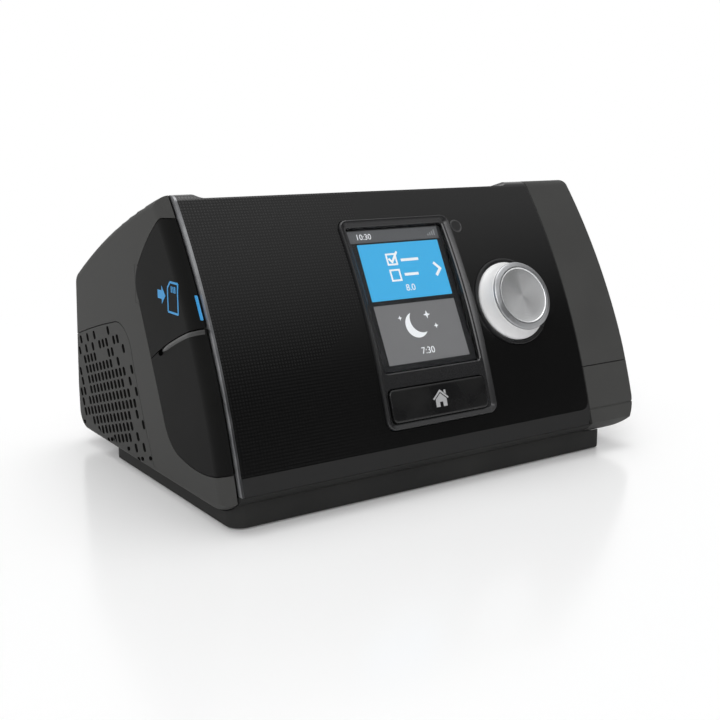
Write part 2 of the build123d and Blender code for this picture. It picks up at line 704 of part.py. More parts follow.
def side_bays():
    """Trays behind the filter cover and the adapter cover, open to the left."""
    wall_in = X_LEFT + END_WALL - 0.5
    y0, y1, z0, z1 = FILTER_BAY
    filter_bay = box(wall_in, X_LEFT + 8.7, y0 - 2, y1 + 0.9, z0 - 2, z1 + 2)
    filter_hole = box(X_LEFT, BOX_LEFT, y0, y1, z0, z1)
    a0, a1, b0, b1 = ADAPTER_BAY
    adapter_bay = box(wall_in, X_LEFT + 16.5, a0 - 2, a1 + 2, b0 - 2, b1 + 2)
    adapter_hole = box(X_LEFT, ADAPTER_FLOOR, a0, a1, b0, b1)
    return [filter_bay, adapter_bay], [filter_hole, adapter_hole]


def board_posts():
    plane = face_plane(0, BEZEL_S)
    posts = [slab(plane, Pos(x, v) * Circle(POST_RADIUS), -BOARD_DEPTH, -3.0) for x, v in BOARD_SCREWS]
    holes = [slab(plane, Pos(x, v) * Circle(SCREW_RADIUS + RUNNING_FIT), -BOARD_DEPTH - 1, -6.0)
             for x, v in BOARD_SCREWS]
    top = recess_plane(START_X, START_Y)
    posts += [slab(top, Pos(x, 0) * Circle(POST_RADIUS), -START_BOARD_DEPTH, -3.0) for x in START_SCREWS]
    holes += [slab(top, Pos(x, 0) * Circle(SCREW_RADIUS + RUNNING_FIT), -START_BOARD_DEPTH - 1, -5.0)
              for x in START_SCREWS]
    return posts, holes


def base_bosses():
    bosses, holes = [], []
    for x, y in BASE_SCREWS:
        high = 24.0 if y < 0 else 20.0
        bosses.append(rod(BOSS_RADIUS, (x, y, PLATE_TOP), (x, y, high)))
        wall_y = Y_FRONT + 5.5 if y < 0 else Y_REAR - 2.0
        bosses.append(box(x - 1, x + 1, min(y, wall_y), max(y, wall_y), 15.0, high))
        holes.append(rod(SCREW_RADIUS + RUNNING_FIT, (x, y, PLATE_TOP - 1), (x, y, high - 1.5)))
    return bosses, holes


def face_windows():
    """Openings in the housing's front wall and roof for what works through it."""
    lcd = slab(face_plane(WINDOW_X, WINDOW_S), RectangleRounded(49.2, 60.4, 1.5), -14, 6)
    home = slab(face_plane(HOME_X, HOME_S), RectangleRounded(12.0, 8.0, 1.5), -14, 6)
    dial = slab(face_plane(DIAL_X, DIAL_S), Circle(8.0), -14, 6)
    sensor = slab(face_plane(SENSOR_X, SENSOR_S), Circle(SENSOR_RADIUS + FIT_GAP), -14, 6)
    start = slab(recess_plane(START_X, START_Y), RectangleRounded(14.0, 9.0, 2.0), -8, 6)
    return [lcd, home, dial, sensor, start]


def main_housing():
    housing = end_form() + prism(OUTLINE, X_MID - 0.01, X_BODY_END)
    housing -= [*front_cut(), RECESS]
    housing -= box(X_FASCIA, X_BODY_END + 1, Y_FAR_FRONT, Y_FRONT + 25.0, 0.0, LIP_HEIGHT)
    housing -= housing_cavity()
    trays, tray_holes = side_bays()
    posts, post_holes = board_posts()
    bosses, boss_holes = base_bosses()
    limit = prism(inset(LOW_OUTLINE, DEEP), X_LEFT + 4, X_BODY_END)
    added = [(piece & limit) for piece in (*housing_cups(), *trays, *posts, *bosses)]
    housing += added
    housing -= [*housing_pockets(), *tray_holes, *post_holes, *boss_holes, *face_windows(), *cover_pockets()]
    housing -= prism(grown(tub_outline(), TUB_CLEAR + BAY_WALL + FIT_GAP), X_BODY_END - 10, X_BODY_END + 5)
    card = slab(face_plane(0, BEZEL_S), Pos(X_LEFT, CARD_V) * Rectangle(24.0, 34.0), -24.0, -11.5)
    housing -= card
    housing -= hinge_rod(PIN_RADIUS + 0.03, HINGE_LOW - PIN_MORE, HINGE_HIGH + PIN_MORE)
    return housing


# ----------------------------------------------------------------------------
# Fascia, trim strip and base
# ----------------------------------------------------------------------------
def fascia_section():
    outer = OUTLINE - inset(LOW_OUTLINE, WALL)
    reach = Y_FRONT + FASCIA_TOP
    limit = Pos(reach - 100, LIP_HEIGHT + 100) * Rectangle(200, 200)
    return outer & limit


FASCIA_CORNER = 6.5
FASCIA_KEEP_HEIGHT = 254.0         # of the rounded blank that trims its corners
FASCIA_KEEP_MIDDLE = 70.0          # above the frame's middle, along the face


def front_fascia():
    """Gloss front: it wraps from the lip over the crest to the top."""
    x0 = X_FASCIA + TRIM_WIDTH
    fascia = prism(fascia_section(), x0, X_BODY_END) - RECESS
    plane = face_plane(0, BEZEL_S)
    frame = Pos((x0 + X_BODY_END) / 2, FASCIA_KEEP_MIDDLE) * RectangleRounded(
        X_BODY_END - x0, FASCIA_KEEP_HEIGHT, FASCIA_CORNER)
    keep = slab(plane, frame, -60, 60)
    keep += [box(x0, X_BODY_END - 8, -80, 0, 0, 40), box(x0, X_BODY_END, -60, 20, 60, 130)]
    fascia = fascia & keep
    hole = RectangleRounded(BEZEL_WIDTH + 2 * FIT_GAP, BEZEL_HEIGHT + 2 * FIT_GAP, BEZEL_ROUND + FIT_GAP)
    fascia -= slab(face_plane(BEZEL_X, BEZEL_S), hole, -14, 6)
    fascia -= slab(face_plane(DIAL_X, DIAL_S), Circle(DIAL_RING_RADIUS + FIT_GAP), -14, 6)
    fascia -= slab(face_plane(SENSOR_X, SENSOR_S), Circle(SENSOR_RADIUS + FIT_GAP), -14, 6)
    fascia -= slab(recess_plane(START_X, START_Y),
                   RectangleRounded(START_LENGTH + 2 * PANEL_GAP, START_WIDTH + 2 * PANEL_GAP, 4.4), -8, 6)
    return fascia


def trim_strip():
    """Bright strip along the fascia's left edge, from the lip over the crest."""
    strip = OUTLINE - inset(OUTLINE, TRIM_DEPTH)
    reach = Y_FRONT + FASCIA_TOP
    limit = Pos(reach - 100, LIP_HEIGHT + 100) * Rectangle(200, 200)
    return prism(strip & limit, X_FASCIA, X_FASCIA + TRIM_WIDTH)


def foot_outline():
    x0, x1 = X_LEFT + FOOT_LEFT, X_RIGHT - FOOT_RIGHT
    y0 = Y_FRONT + FOOT_FRONT
    return Pos((x0 + x1) / 2, y0 + FOOT_LENGTH / 2) * RectangleRounded(x1 - x0, FOOT_LENGTH, FOOT_ROUND)


def pad_places():
    x0, x1 = X_LEFT + FOOT_LEFT, X_RIGHT - FOOT_RIGHT
    y0 = Y_FRONT + FOOT_FRONT
    reach = 12.0
    return [(x, y) for x in (x0 + reach, x1 - reach) for y in (y0 + reach, y0 + FOOT_LENGTH - reach)]


def base_tray():
    """Chassis: foot, plate that closes the housing, and the belly band under the fascia."""
    low = PAD_PROUD
    foot = foot_outline()
    x0, x1 = X_LEFT + FOOT_LEFT, X_RIGHT - FOOT_RIGHT
    y0 = Y_FRONT + FOOT_FRONT
    tray = extrude(Plane.XY.offset(low) * foot, amount=FOOT_TOP - low)
    tray -= extrude(Plane.XY.offset(low - 1) * inset(foot, FOOT_WALL), amount=FOOT_TOP - WALL - low + 1)
    plate = box(WINDOW_X0 + PANEL_GAP, WINDOW_X1 - PANEL_GAP, WINDOW_Y0 + PANEL_GAP, WINDOW_Y1 - PANEL_GAP,
                FOOT_TOP - 0.01, PLATE_TOP)
    band_area = (OUTLINE - inset(OUTLINE, WALL)) & Pos(-100, 0) * Rectangle(100, 2 * (LIP_HEIGHT - FIT_GAP))
    band = prism(band_area, X_FASCIA + 0.3, X_BODY_END)
    front = extrude(Plane.XY.offset(low) * foot, amount=9.6 - low)
    front &= box(x0 - 1, x1 + 1, y0 - 1, y0 + 15.0, 0, 20)
    front -= prism(grown(OUTLINE, PANEL_GAP), X_LEFT - 5, X_FASCIA + 0.3 - 0.01)
    front -= prism(grown(OUTLINE, PANEL_GAP), X_BODY_END + 0.01, X_RIGHT + 5)
    front -= prism(inset(OUTLINE, 1.0), X_FASCIA, X_BODY_END + 1)
    front -= extrude(Plane.XY * inset(foot, FOOT_WALL), amount=FOOT_TOP - WALL)
    tray += [plate, band, front]
    posts = [rod(PAD_RADIUS + 2, (x, y, low), (x, y, FOOT_TOP - 0.5)) for x, y in pad_places()]
    posts += [rod(4.2, (x, y, low), (x, y, PLATE_TOP)) for x, y in BASE_SCREWS if y < 0]
    ribs = [box(x, x + 1.6, y0 + 1, y0 + FOOT_LENGTH - 1, low + 0.6, FOOT_TOP - 0.5)
            for x in (-50.0, 0.0, 50.0)]
    rails = [box(BAY_X0, X_BODY_END - 6, y, y + 2.4, PLATE_TOP - 0.5, BAY_LOW)
             for y in (TUB_FRONT_LOW + 4.0, TUB_REAR - 5.0)]
    feet = [rod(3.0, (x, y, PLATE_TOP - 0.5), (x, y, BOX_FLOOR)) for x, y in box_feet()]
    tray += [*posts, *ribs, *rails, *feet]
    tray -= [rod(PAD_RADIUS + 0.1, (x, y, 0), (x, y, PAD_PROUD + PAD_SET)) for x, y in pad_places()]
    tray -= [rod(SCREW_RADIUS + 0.2, (x, y, 0), (x, y, PLATE_TOP + 1)) for x, y in BASE_SCREWS]
    tray -= [rod(SCREW_HEAD_RADIUS + 0.3, (x, y, -1), (x, y, screw_seat(y))) for x, y in BASE_SCREWS]
    return tray


def screw_seat(y):
    """Height of a base screw's head seat: in the foot at the front, in the plate at the rear."""
    return 3.4 if y < 0 else FOOT_TOP + 1.0


def rubber_feet():
    return [rod(PAD_RADIUS, (x, y, 0), (x, y, PAD_PROUD + PAD_SET)) for x, y in pad_places()]


def screw(plane, length):
    """Pan-head screw: head on the plane's upper side, shank below it."""
    head = slab(plane, Circle(SCREW_HEAD_RADIUS), 0, SCREW_HEAD)
    return head + slab(plane, Circle(SCREW_RADIUS), -length, 0.01)


def base_screws():
    return [screw(Plane(origin=(x, y, screw_seat(y)), z_dir=(0, 0, -1)), 11.0) for x, y in BASE_SCREWS]


def box_feet():
    return [(x, y) for x in (BOX_LEFT + 8, BOX_RIGHT - 8) for y in (BOX_FRONT + 8, BOX_REAR - 8)]


# ----------------------------------------------------------------------------
# Front controls
# ----------------------------------------------------------------------------
def rounded_band(plane, width, height, corner, low, high, flat_low=-14, flat_high=6):
    """Block with the face's curvature inside a rounded rectangle."""
    block = slab(plane, RectangleRounded(width, height, corner), flat_low, flat_high)
    return block & face_band(low, high, X_LEFT, X_RIGHT)


def display_bezel():
    """Raised frame round the screen and the home button, with bevelled sides inside."""
    bezel = rounded_band(face_plane(BEZEL_X, BEZEL_S), BEZEL_WIDTH, BEZEL_HEIGHT, BEZEL_ROUND,
                         -WALL, BEZEL_PROUD)
    plane = face_plane(WINDOW_X, WINDOW_S)
    mouth = RectangleRounded(WINDOW_WIDTH + 0.6, WINDOW_HEIGHT + 0.6, 2.0)
    window = extrude(plane.offset(BEZEL_PROUD + 0.3) * mouth, amount=-9.0, taper=WINDOW_DRAFT / 4)
    bezel -= window
    bezel -= slab(face_plane(HOME_X, HOME_S),
                  RectangleRounded(HOME_WIDTH + 2 * HOME_GAP, HOME_HEIGHT + 2 * HOME_GAP, 2.6), -14, 6)
    return bezel


def lens_size():
    """Lens fits the narrow end of the window's bevel."""
    return WINDOW_WIDTH - 1.6, WINDOW_HEIGHT - 1.6


def display_lens():
    width, height = lens_size()
    plane = face_plane(WINDOW_X, WINDOW_S)
    return slab(plane, RectangleRounded(width, height, 1.2), -LENS_DEPTH - LENS_THICKNESS, -LENS_DEPTH)


def lcd_module():
    width, height = lens_size()
    plane = face_plane(WINDOW_X, WINDOW_S)
    top = LENS_DEPTH + LENS_THICKNESS + FIT_GAP
    return slab(plane, RectangleRounded(width - 1, height - 2, 1.0), -top - LCD_THICKNESS, -top)


def lcd_frame():
    """Open frame that carries the display on the main board."""
    width, height = lens_size()
    plane = face_plane(WINDOW_X, WINDOW_S)
    top = LENS_DEPTH + LENS_THICKNESS + FIT_GAP + LCD_THICKNESS
    outer = RectangleRounded(width - 1, height - 2, 1.0)
    inner = RectangleRounded(width - 5, height - 6, 1.0)
    frame = slab(plane, outer - inner, -top - 10, -top)
    return frame & slab(face_plane(0, BEZEL_S), Rectangle(BLANK, BLANK), -BOARD_DEPTH, 20)


def home_button():
    plane = face_plane(HOME_X, HOME_S)
    cap = rounded_band(plane, HOME_WIDTH, HOME_HEIGHT, 2.1, -1.4, HOME_PROUD)
    return cap + slab(plane, Circle(2.6), -HOME_STEM, -1.0)


HOME_STEM = 6.6


def tact_switch(plane, low, high):
    """Tactile switch standing on a board: square body and round plunger."""
    body = slab(plane, RectangleRounded(6.2, 6.2, 0.5), low, high - 1.0)
    return body + slab(plane, Circle(1.7), high - 1.1, high)


def home_button_switch():
    height = FACE_RADIUS * sin((BEZEL_S - HOME_S) / FACE_RADIUS)
    plane = face_plane(HOME_X, BEZEL_S)
    origin = plane.from_local_coords((0, -height + 0.9, 0))
    board = Plane(origin=origin, x_dir=plane.x_dir, z_dir=plane.z_dir)
    return tact_switch(board, -BOARD_DEPTH, -9.9)


def start_stop_button():
    """Long push button let into the top recess."""
    plane = recess_plane(START_X, START_Y)
    cap = slab(plane, RectangleRounded(START_LENGTH, START_WIDTH, 4.0), -8, 6)
    cap &= recess_band(-1.4, START_PROUD, X_LEFT, X_RIGHT)
    return cap + slab(plane, Circle(2.6), -5.6, -1.0)


def start_stop_switch():
    return tact_switch(recess_plane(START_X, START_Y), -START_BOARD_DEPTH, -5.6 - START_TRAVEL - 0.1)


def start_stop_board():
    plane = recess_plane(START_X, START_Y)
    board = slab(plane, RectangleRounded(42.0, 12.0, 1.5),
                 -START_BOARD_DEPTH - BOARD_THICKNESS, -START_BOARD_DEPTH)
    return board - [slab(plane, Pos(x, 0) * Circle(SCREW_RADIUS + 0.2), -20, 0) for x in START_SCREWS]


def dial_ring():
    plane = face_plane(DIAL_X, DIAL_S)
    ring = slab(plane, Circle(DIAL_RING_RADIUS) - Circle(DIAL_RING_RADIUS - DIAL_RING_WIDTH), -14, 6)
    return ring & face_band(-WALL, DIAL_RING_PROUD, X_LEFT, X_RIGHT)


def turned(plane, profile):
    """Revolve a profile drawn as (radius, height) about the plane's normal."""
    upright = Plane(origin=plane.origin, x_dir=plane.x_dir, z_dir=-plane.y_dir)
    return revolve(upright * profile, Axis(plane.origin, plane.z_dir), 360)


def dial_knob():
    """Push-and-turn knob: flared skirt, waisted side, rounded bright rim, hollow behind."""
    outer = make_face([
        Line((0, KNOB_HEIGHT - 1.4), (CAP_RADIUS + 0.15, KNOB_HEIGHT - 1.4)),
        Line((CAP_RADIUS + 0.15, KNOB_HEIGHT - 1.4), (CAP_RADIUS + 0.15, KNOB_HEIGHT - 0.4)),
        Polyline((CAP_RADIUS + 0.15, KNOB_HEIGHT - 0.4), (CAP_RADIUS + 0.7, KNOB_HEIGHT),
                 (KNOB_TOP_RADIUS - 0.8, KNOB_HEIGHT), (KNOB_TOP_RADIUS, KNOB_HEIGHT - 0.9),
                 (KNOB_TOP_RADIUS + 0.6, 4.0), (KNOB_BASE_RADIUS, 0.7)),
        Polyline((KNOB_BASE_RADIUS, 0.7), (KNOB_BASE_RADIUS, -0.6), (KNOB_BASE_RADIUS - 1.8, -0.6),
                 (KNOB_TOP_RADIUS - 1.9, KNOB_HEIGHT - 3.2), (5.4, KNOB_HEIGHT - 3.2), (5.4, -2.0),
                 (0, -2.0), (0, KNOB_HEIGHT - 1.4)),
    ])
    plane = face_plane(DIAL_X, DIAL_S)
    return turned(plane, outer) - slab(plane, Circle(SHAFT_RADIUS + 0.03), -4, KNOB_HEIGHT - 3.0)


def dial_cap():
    """Spun face of the knob, dished to its middle."""
    profile = make_face([
        Polyline((CAP_RADIUS, KNOB_HEIGHT - 0.5), (CAP_RADIUS, KNOB_HEIGHT - 1.4), (0, KNOB_HEIGHT - 1.4),
                 (0, KNOB_HEIGHT - 0.9), (CAP_RADIUS, KNOB_HEIGHT - 0.5)),
    ])
    return turned(face_plane(DIAL_X, DIAL_S), profile)


def encoder_shaft():
    return slab(face_plane(DIAL_X, DIAL_S), Circle(SHAFT_RADIUS), -9.0, KNOB_HEIGHT - 3.0)


def encoder_plunger():
    return slab(face_plane(DIAL_X, DIAL_S), Circle(2.2), -11.4, -9.0)


def dial_encoder():
    plane = face_plane(DIAL_X, DIAL_S)
    body = slab(plane, RectangleRounded(13.0, 13.0, 1.0), -BOARD_DEPTH + 0.2, -6.5)
    body += slab(plane, Circle(4.6), -6.6, -3.6)
    body -= slab(plane, Circle(SHAFT_RADIUS + RUNNING_FIT), -10.2, 0)
    return body - slab(plane, Circle(2.6), -12.6, -10.0)


def light_sensor_lens():
    plane = face_plane(SENSOR_X, SENSOR_S)
    stem = slab(plane, Circle(SENSOR_RADIUS), -5.2, 3.0)
    return stem & face_band(-8.0, 0.1, X_LEFT, X_RIGHT)


def main_board():
    plane = face_plane(0, BEZEL_S)
    width, height = BOARD_RIGHT - BOARD_LEFT, BOARD_HIGH - BOARD_LOW
    middle = Pos((BOARD_LEFT + BOARD_RIGHT) / 2, (BOARD_LOW + BOARD_HIGH) / 2)
    shape = middle * RectangleRounded(width, height, 3.0)
    board = slab(plane, shape, -BOARD_DEPTH - BOARD_THICKNESS, -BOARD_DEPTH)
    return board - [slab(plane, Pos(x, v) * Circle(SCREW_RADIUS + 0.2), -30, 0) for x, v in BOARD_SCREWS]


def board_screws():
    plane = face_plane(0, BEZEL_S)
    screws = []
    for x, v in BOARD_SCREWS:
        seat = plane.from_local_coords((x, v, -BOARD_DEPTH - BOARD_THICKNESS))
        screws.append(screw(Plane(origin=seat, z_dir=-plane.z_dir), 8.0))
    top = recess_plane(START_X, START_Y)
    for x in START_SCREWS:
        seat = top.from_local_coords((x, 0, -START_BOARD_DEPTH - BOARD_THICKNESS))
        screws.append(screw(Plane(origin=seat, z_dir=-top.z_dir), 5.5))
    return screws


# ----------------------------------------------------------------------------
# Memory card and adapter socket
# ----------------------------------------------------------------------------
CARD_X0 = X_LEFT + 3.4
CARD_TOP = -BOARD_DEPTH - BOARD_THICKNESS - 0.8


def memory_card():
    """Memory card: flat body with one clipped corner."""
    width = CARD_WIDTH / 2
    shape = polygon([(0, -width), (CARD_LENGTH, -width), (CARD_LENGTH, width - 4),
                     (CARD_LENGTH - 4, width), (0, width)])
    return slab(face_plane(CARD_X0, BEZEL_S), Pos(0, CARD_V) * shape, CARD_TOP - CARD_THICKNESS, CARD_TOP)


def card_socket():
    plane = face_plane(CARD_X0, BEZEL_S)
    outer = Pos(20.5, CARD_V) * Rectangle(28.0, CARD_WIDTH + 4)
    socket = slab(plane, outer, CARD_TOP - CARD_THICKNESS - 1.0, -BOARD_DEPTH - BOARD_THICKNESS)
    slot = Pos(15.0, CARD_V) * Rectangle(2 * (CARD_LENGTH - 15.0 + CARD_TRAVEL + 0.3), CARD_WIDTH + 0.4)
    return socket - slab(plane, slot, CARD_TOP - CARD_THICKNESS - FIT_GAP, CARD_TOP + FIT_GAP)


def adapter_connector():
    y0, y1, z0, z1 = ADAPTER_BAY
    body = box(ADAPTER_FLOOR - 5.0, ADAPTER_FLOOR, y0 + 7, y1 - 7, z0 + 7, z1 - 7)
    return body - box(ADAPTER_FLOOR - 6.0, ADAPTER_FLOOR - 2.0, y0 + 8.4, y1 - 8.4, z0 + 8.4, z1 - 8.4)


# ----------------------------------------------------------------------------
# Air path: filter, silencer box, blower, ducts
# ----------------------------------------------------------------------------
def air_filter():
    y0, y1, z0, z1 = FILTER_BAY
    return box(X_LEFT + COVER_WALL + 0.3, X_LEFT + 8.2, y0 + 0.5, y1 - 0.5, z0 + 0.5, z1 - 0.5)


def muffler_box():
    shell = box(BOX_LEFT, BOX_RIGHT, BOX_FRONT, BOX_REAR, BOX_FLOOR, BOX_TOP)
    w = BOX_WALL
    shell = fillet(shell.edges().filter_by(Axis.Z), 5.0)
    inner = box(BOX_LEFT + w, BOX_RIGHT - w, BOX_FRONT + w, BOX_REAR - w, BOX_FLOOR + w, BOX_TOP + 1)
    shell -= fillet(inner.edges().filter_by(Axis.Z), 3.0)
    y, z0, z1 = FILTER_BAY[0], FILTER_BAY[2] + 2.8, FILTER_BAY[3] - 1.4
    shell += box(X_LEFT + 9.0, BOX_LEFT + 1, y, y + 20.0, z0, z1)
    shell -= box(X_LEFT + 7.5, BOX_LEFT + 3, y + 2.0, y + 18.0, z0 + 2.0, z1 - 2.0)
    return shell - rod(NECK_RADIUS + 2.2, (BOX_RIGHT - 5, NECK_Y, NECK_Z), (BOX_RIGHT + 5, NECK_Y, NECK_Z))


NECK_Y = BLOWER_Y - 20.5
NECK_Z = 29.0


def muffler_lid():
    lid = box(BOX_LEFT, BOX_RIGHT, BOX_FRONT, BOX_REAR, BOX_TOP, BOX_TOP + 2)
    lid = fillet(lid.edges().filter_by(Axis.Z), 5.0)
    w = BOX_WALL + FIT_GAP
    tongue = box(BOX_LEFT + w, BOX_RIGHT - w, BOX_FRONT + w, BOX_REAR - w, BOX_TOP - 2, BOX_TOP + 0.5)
    tongue = fillet(tongue.edges().filter_by(Axis.Z), 3.0)
    return lid + (tongue - box(BOX_LEFT + 5, BOX_RIGHT - 5, BOX_FRONT + 5, BOX_REAR - 5, 40, BOX_TOP))


def muffler_foam():
    """Sound-absorbing foam that lines the box round the blower."""
    gap = BOX_WALL + 0.4
    foam = box(BOX_LEFT + gap + 3, BOX_RIGHT - gap, BOX_FRONT + gap, BOX_REAR - gap,
               BOX_FLOOR + gap, BOX_TOP - 2.4)
    foam = fillet(foam.edges().filter_by(Axis.Z), 4.0)
    foam -= rod(VOLUTE_RADIUS + 1.4, (BLOWER_X, BLOWER_Y, 0), (BLOWER_X, BLOWER_Y, 90))
    foam -= box(BLOWER_X, BOX_RIGHT, BOX_FRONT - 1, NECK_Y + NECK_RADIUS + 4, 10, 60)
    return foam - box(BOX_LEFT - 1, BOX_LEFT + 20.0, FILTER_BAY[0] - 1.0, BOX_REAR - 8, 10, 60)


def volute(low, high):
    """Snail casing between two levels: growing spiral wall and tangential neck."""
    x, y = BLOWER_X, BLOWER_Y
    outer = rod(VOLUTE_RADIUS, (x, y, low), (x, y, high))
    neck = rod(NECK_RADIUS + 2, (x, NECK_Y, NECK_Z), (BOX_RIGHT - 6, NECK_Y, NECK_Z))
    level = box(-200, 200, -200, 200, low, high)
    body = outer + (neck & level)
    body -= rod(VOLUTE_RADIUS - 2, (x, y, max(low, 25.0)), (x, y, min(high, VOLUTE_HIGH - 2)))
    return body - (rod(NECK_RADIUS, (x, NECK_Y, NECK_Z), (BOX_RIGHT, NECK_Y, NECK_Z)) & level)


def blower_volute_lower():
    body = volute(VOLUTE_LOW, VOLUTE_SPLIT)
    return body - rod(13.4, (BLOWER_X, BLOWER_Y, 0), (BLOWER_X, BLOWER_Y, 26.0))


def blower_volute_upper():
    body = volute(VOLUTE_SPLIT, VOLUTE_HIGH)
    return body - rod(12.0, (BLOWER_X, BLOWER_Y, 30.0), (BLOWER_X, BLOWER_Y, 60.0))


def blower_motor():
    axis = (BLOWER_X, BLOWER_Y)
    motor = rod(13.2, (*axis, 15.0), (*axis, 25.8))
    return motor - rod(1.5 + RUNNING_FIT, (*axis, 14.0), (*axis, 30.0))


def rotor_shaft():
    return rod(1.5, (BLOWER_X, BLOWER_Y, 15.4), (BLOWER_X, BLOWER_Y, 33.0))


def impeller():
    """Centrifugal wheel: dished hub plate with backward-curved blades."""
    axis = (BLOWER_X, BLOWER_Y)
    wheel = rod(IMPELLER_RADIUS, (*axis, 27.0), (*axis, 28.4)) + rod(5.0, (*axis, 27.0), (*axis, 33.4))
    blade = make_face([
        ThreePointArc((8.0, 0.0), (15.0, 3.4), (IMPELLER_RADIUS - 0.6, 10.0)),
        Line((IMPELLER_RADIUS - 0.6, 10.0), (IMPELLER_RADIUS - 1.6, 11.0)),
        ThreePointArc((IMPELLER_RADIUS - 1.6, 11.0), (14.4, 4.6), (8.0, 1.2)),
        Line((8.0, 1.2), (8.0, 0.0)),
    ])
    blades = [extrude(Pos(*axis, 28.0) * Rot(0, 0, 360 / BLADE_COUNT * k) * blade, amount=6.6)
              for k in range(BLADE_COUNT)]
    return wheel + blades - rod(1.5 + 0.02, (*axis, 20.0), (*axis, 33.2))


def blower_mounts():
    """Rubber mounts between the blower and the silencer box."""
    mounts = []
    for dx, dy in ((-20, -14), (20, -8), (-20, 18), (20, 18)):
        place = (BLOWER_X + dx, BLOWER_Y + dy)
        mounts.append(rod(3.0, (*place, BOX_FLOOR + BOX_WALL), (*place, VOLUTE_LOW)))
    return mounts


def outlet_bellows():
    """Soft sleeve from the blower's neck through the box wall to the riser duct."""
    x0, x1 = BOX_RIGHT - 5.6, RISER_X0
    profile = [tube(NECK_RADIUS + 1.8, NECK_RADIUS, (x0, NECK_Y, NECK_Z), (x1, NECK_Y, NECK_Z))]
    profile += [tube(NECK_RADIUS + 3.2, NECK_RADIUS + 1, (x, NECK_Y, NECK_Z), (x + 1.0, NECK_Y, NECK_Z))
                for x in (x0 + 0.2, x0 + 1.8)]
    return profile[0] + profile[1:]


RISER_X0 = BOX_RIGHT + 0.8
RISER_X1 = TUB_LEFT - 6.2


def riser_duct():
    """Flat duct that lifts the air from the blower to the tub's inlet port."""
    duct = box(RISER_X0, RISER_X1, NECK_Y - 13, INLET_PORT_Y + 12, 14.0, PORT_Z + 11)
    duct = fillet(duct.edges().filter_by(Axis.X), 4.0)
    duct -= box(RISER_X0 + 2, RISER_X1 - 2, NECK_Y - 11, INLET_PORT_Y + 10, 16.0, PORT_Z + 9)
    duct -= rod(NECK_RADIUS + 0.5, (RISER_X0 - 1, NECK_Y, NECK_Z), (RISER_X0 + 4, NECK_Y, NECK_Z))
    start, end = (RISER_X1 - 4, INLET_PORT_Y, PORT_Z), (RISER_X1 + 1, INLET_PORT_Y, PORT_Z)
    return duct - rod(PORT_RADIUS, start, end)


def outlet_duct():
    """Duct from the tub's outlet port, turning to the rear port."""
    y1 = OUTLET_CUP_FLOOR - CUP_WALL - FIT_GAP
    duct = box(OUTLET_X - 13, RISER_X1, OUTLET_PORT_Y - 12, y1, BOX_TOP + 2.2, OUTLET_Z + 13)
    duct -= box(OUTLET_X - 11, RISER_X1 - 2, OUTLET_PORT_Y - 10, y1 - 2, BOX_TOP + 4.2, OUTLET_Z + 11)
    duct -= rod(PORT_RADIUS, (RISER_X1 - 4, OUTLET_PORT_Y, PORT_Z), (RISER_X1 + 1, OUTLET_PORT_Y, PORT_Z))
    return duct - rod(OUTLET_BORE, (OUTLET_X, y1 - 4, OUTLET_Z), (OUTLET_X, y1 + 1, OUTLET_Z))


def air_outlet():
    """22 mm port for the breathing tube, with a shoulder that the tube seats on."""
    y0, y1 = OUTLET_CUP_FLOOR - CUP_WALL - FIT_GAP, Y_REAR - 0.6
    port = rod(OUTLET_RADIUS, (OUTLET_X, y0, OUTLET_Z), (OUTLET_X, y1, OUTLET_Z))
    rim = port.faces().sort_by(Axis.Y)[-1].edges()
    port = chamfer(rim, 0.6)
    port += rod(OUTLET_SHOULDER, (OUTLET_X, y0, OUTLET_Z),
                (OUTLET_X, OUTLET_CUP_FLOOR + OUTLET_SHOULDER_PROUD, OUTLET_Z))
    return port - rod(OUTLET_BORE, (OUTLET_X, y0 - 1, OUTLET_Z), (OUTLET_X, y1 + 1, OUTLET_Z))


def tube_contacts():
    """Three spring contacts under the port for a heated tube."""
    floor = OUTLET_CUP_FLOOR
    z = OUTLET_Z - 16.5
    block = box(OUTLET_X - 4.0, OUTLET_X + 4.0, floor, floor + 8.0, z - 1.6, z + 1.6)
    return block + [rod(0.7, (OUTLET_X + dx, floor + 7, z), (OUTLET_X + dx, floor + 11, z))
                    for dx in (-2.4, 0.0, 2.4)]


# ----------------------------------------------------------------------------
# Tub bay, heater and tub
# ----------------------------------------------------------------------------
BAY_X0 = RISER_X1 + FIT_GAP
BAY_LOW = TUB_FLOOR - TUB_CLEAR - BAY_WALL


def tub_bay():
    """Sleeve that the tub slides into, closed at its left end but for the two air ports."""
    section = tub_outline()
    bay = prism(grown(section, TUB_CLEAR + BAY_WALL), BAY_X0, X_BODY_END)
    bay -= prism(grown(section, TUB_CLEAR), BAY_X0 + BAY_WALL, X_BODY_END + 1)
    for y in (INLET_PORT_Y, OUTLET_PORT_Y):
        bay -= rod(PORT_RADIUS, (BAY_X0 - 1, y, PORT_Z), (BAY_X0 + 4, y, PORT_Z))
    return bay - box(HEATER_X - HEATER_LENGTH / 2 - 0.4, HEATER_X + HEATER_LENGTH / 2 + 0.4,
                     HEATER_Y - HEATER_WIDTH / 2 - 0.4, HEATER_Y + HEATER_WIDTH / 2 + 0.4, 5.0, 15.0)


def port_seals():
    x0 = BAY_X0 + BAY_WALL
    return [tube(PORT_RADIUS + 2.5, PORT_RADIUS, (x0, y, PORT_Z), (TUB_LEFT - 0.3, y, PORT_Z))
            for y in (INLET_PORT_Y, OUTLET_PORT_Y)]


def heater_plate():
    plate = box(HEATER_X - HEATER_LENGTH / 2, HEATER_X + HEATER_LENGTH / 2,
                HEATER_Y - HEATER_WIDTH / 2, HEATER_Y + HEATER_WIDTH / 2, BAY_LOW + 0.4, TUB_FLOOR - 0.7)
    return fillet(plate.edges().filter_by(Axis.Z), 4.0)


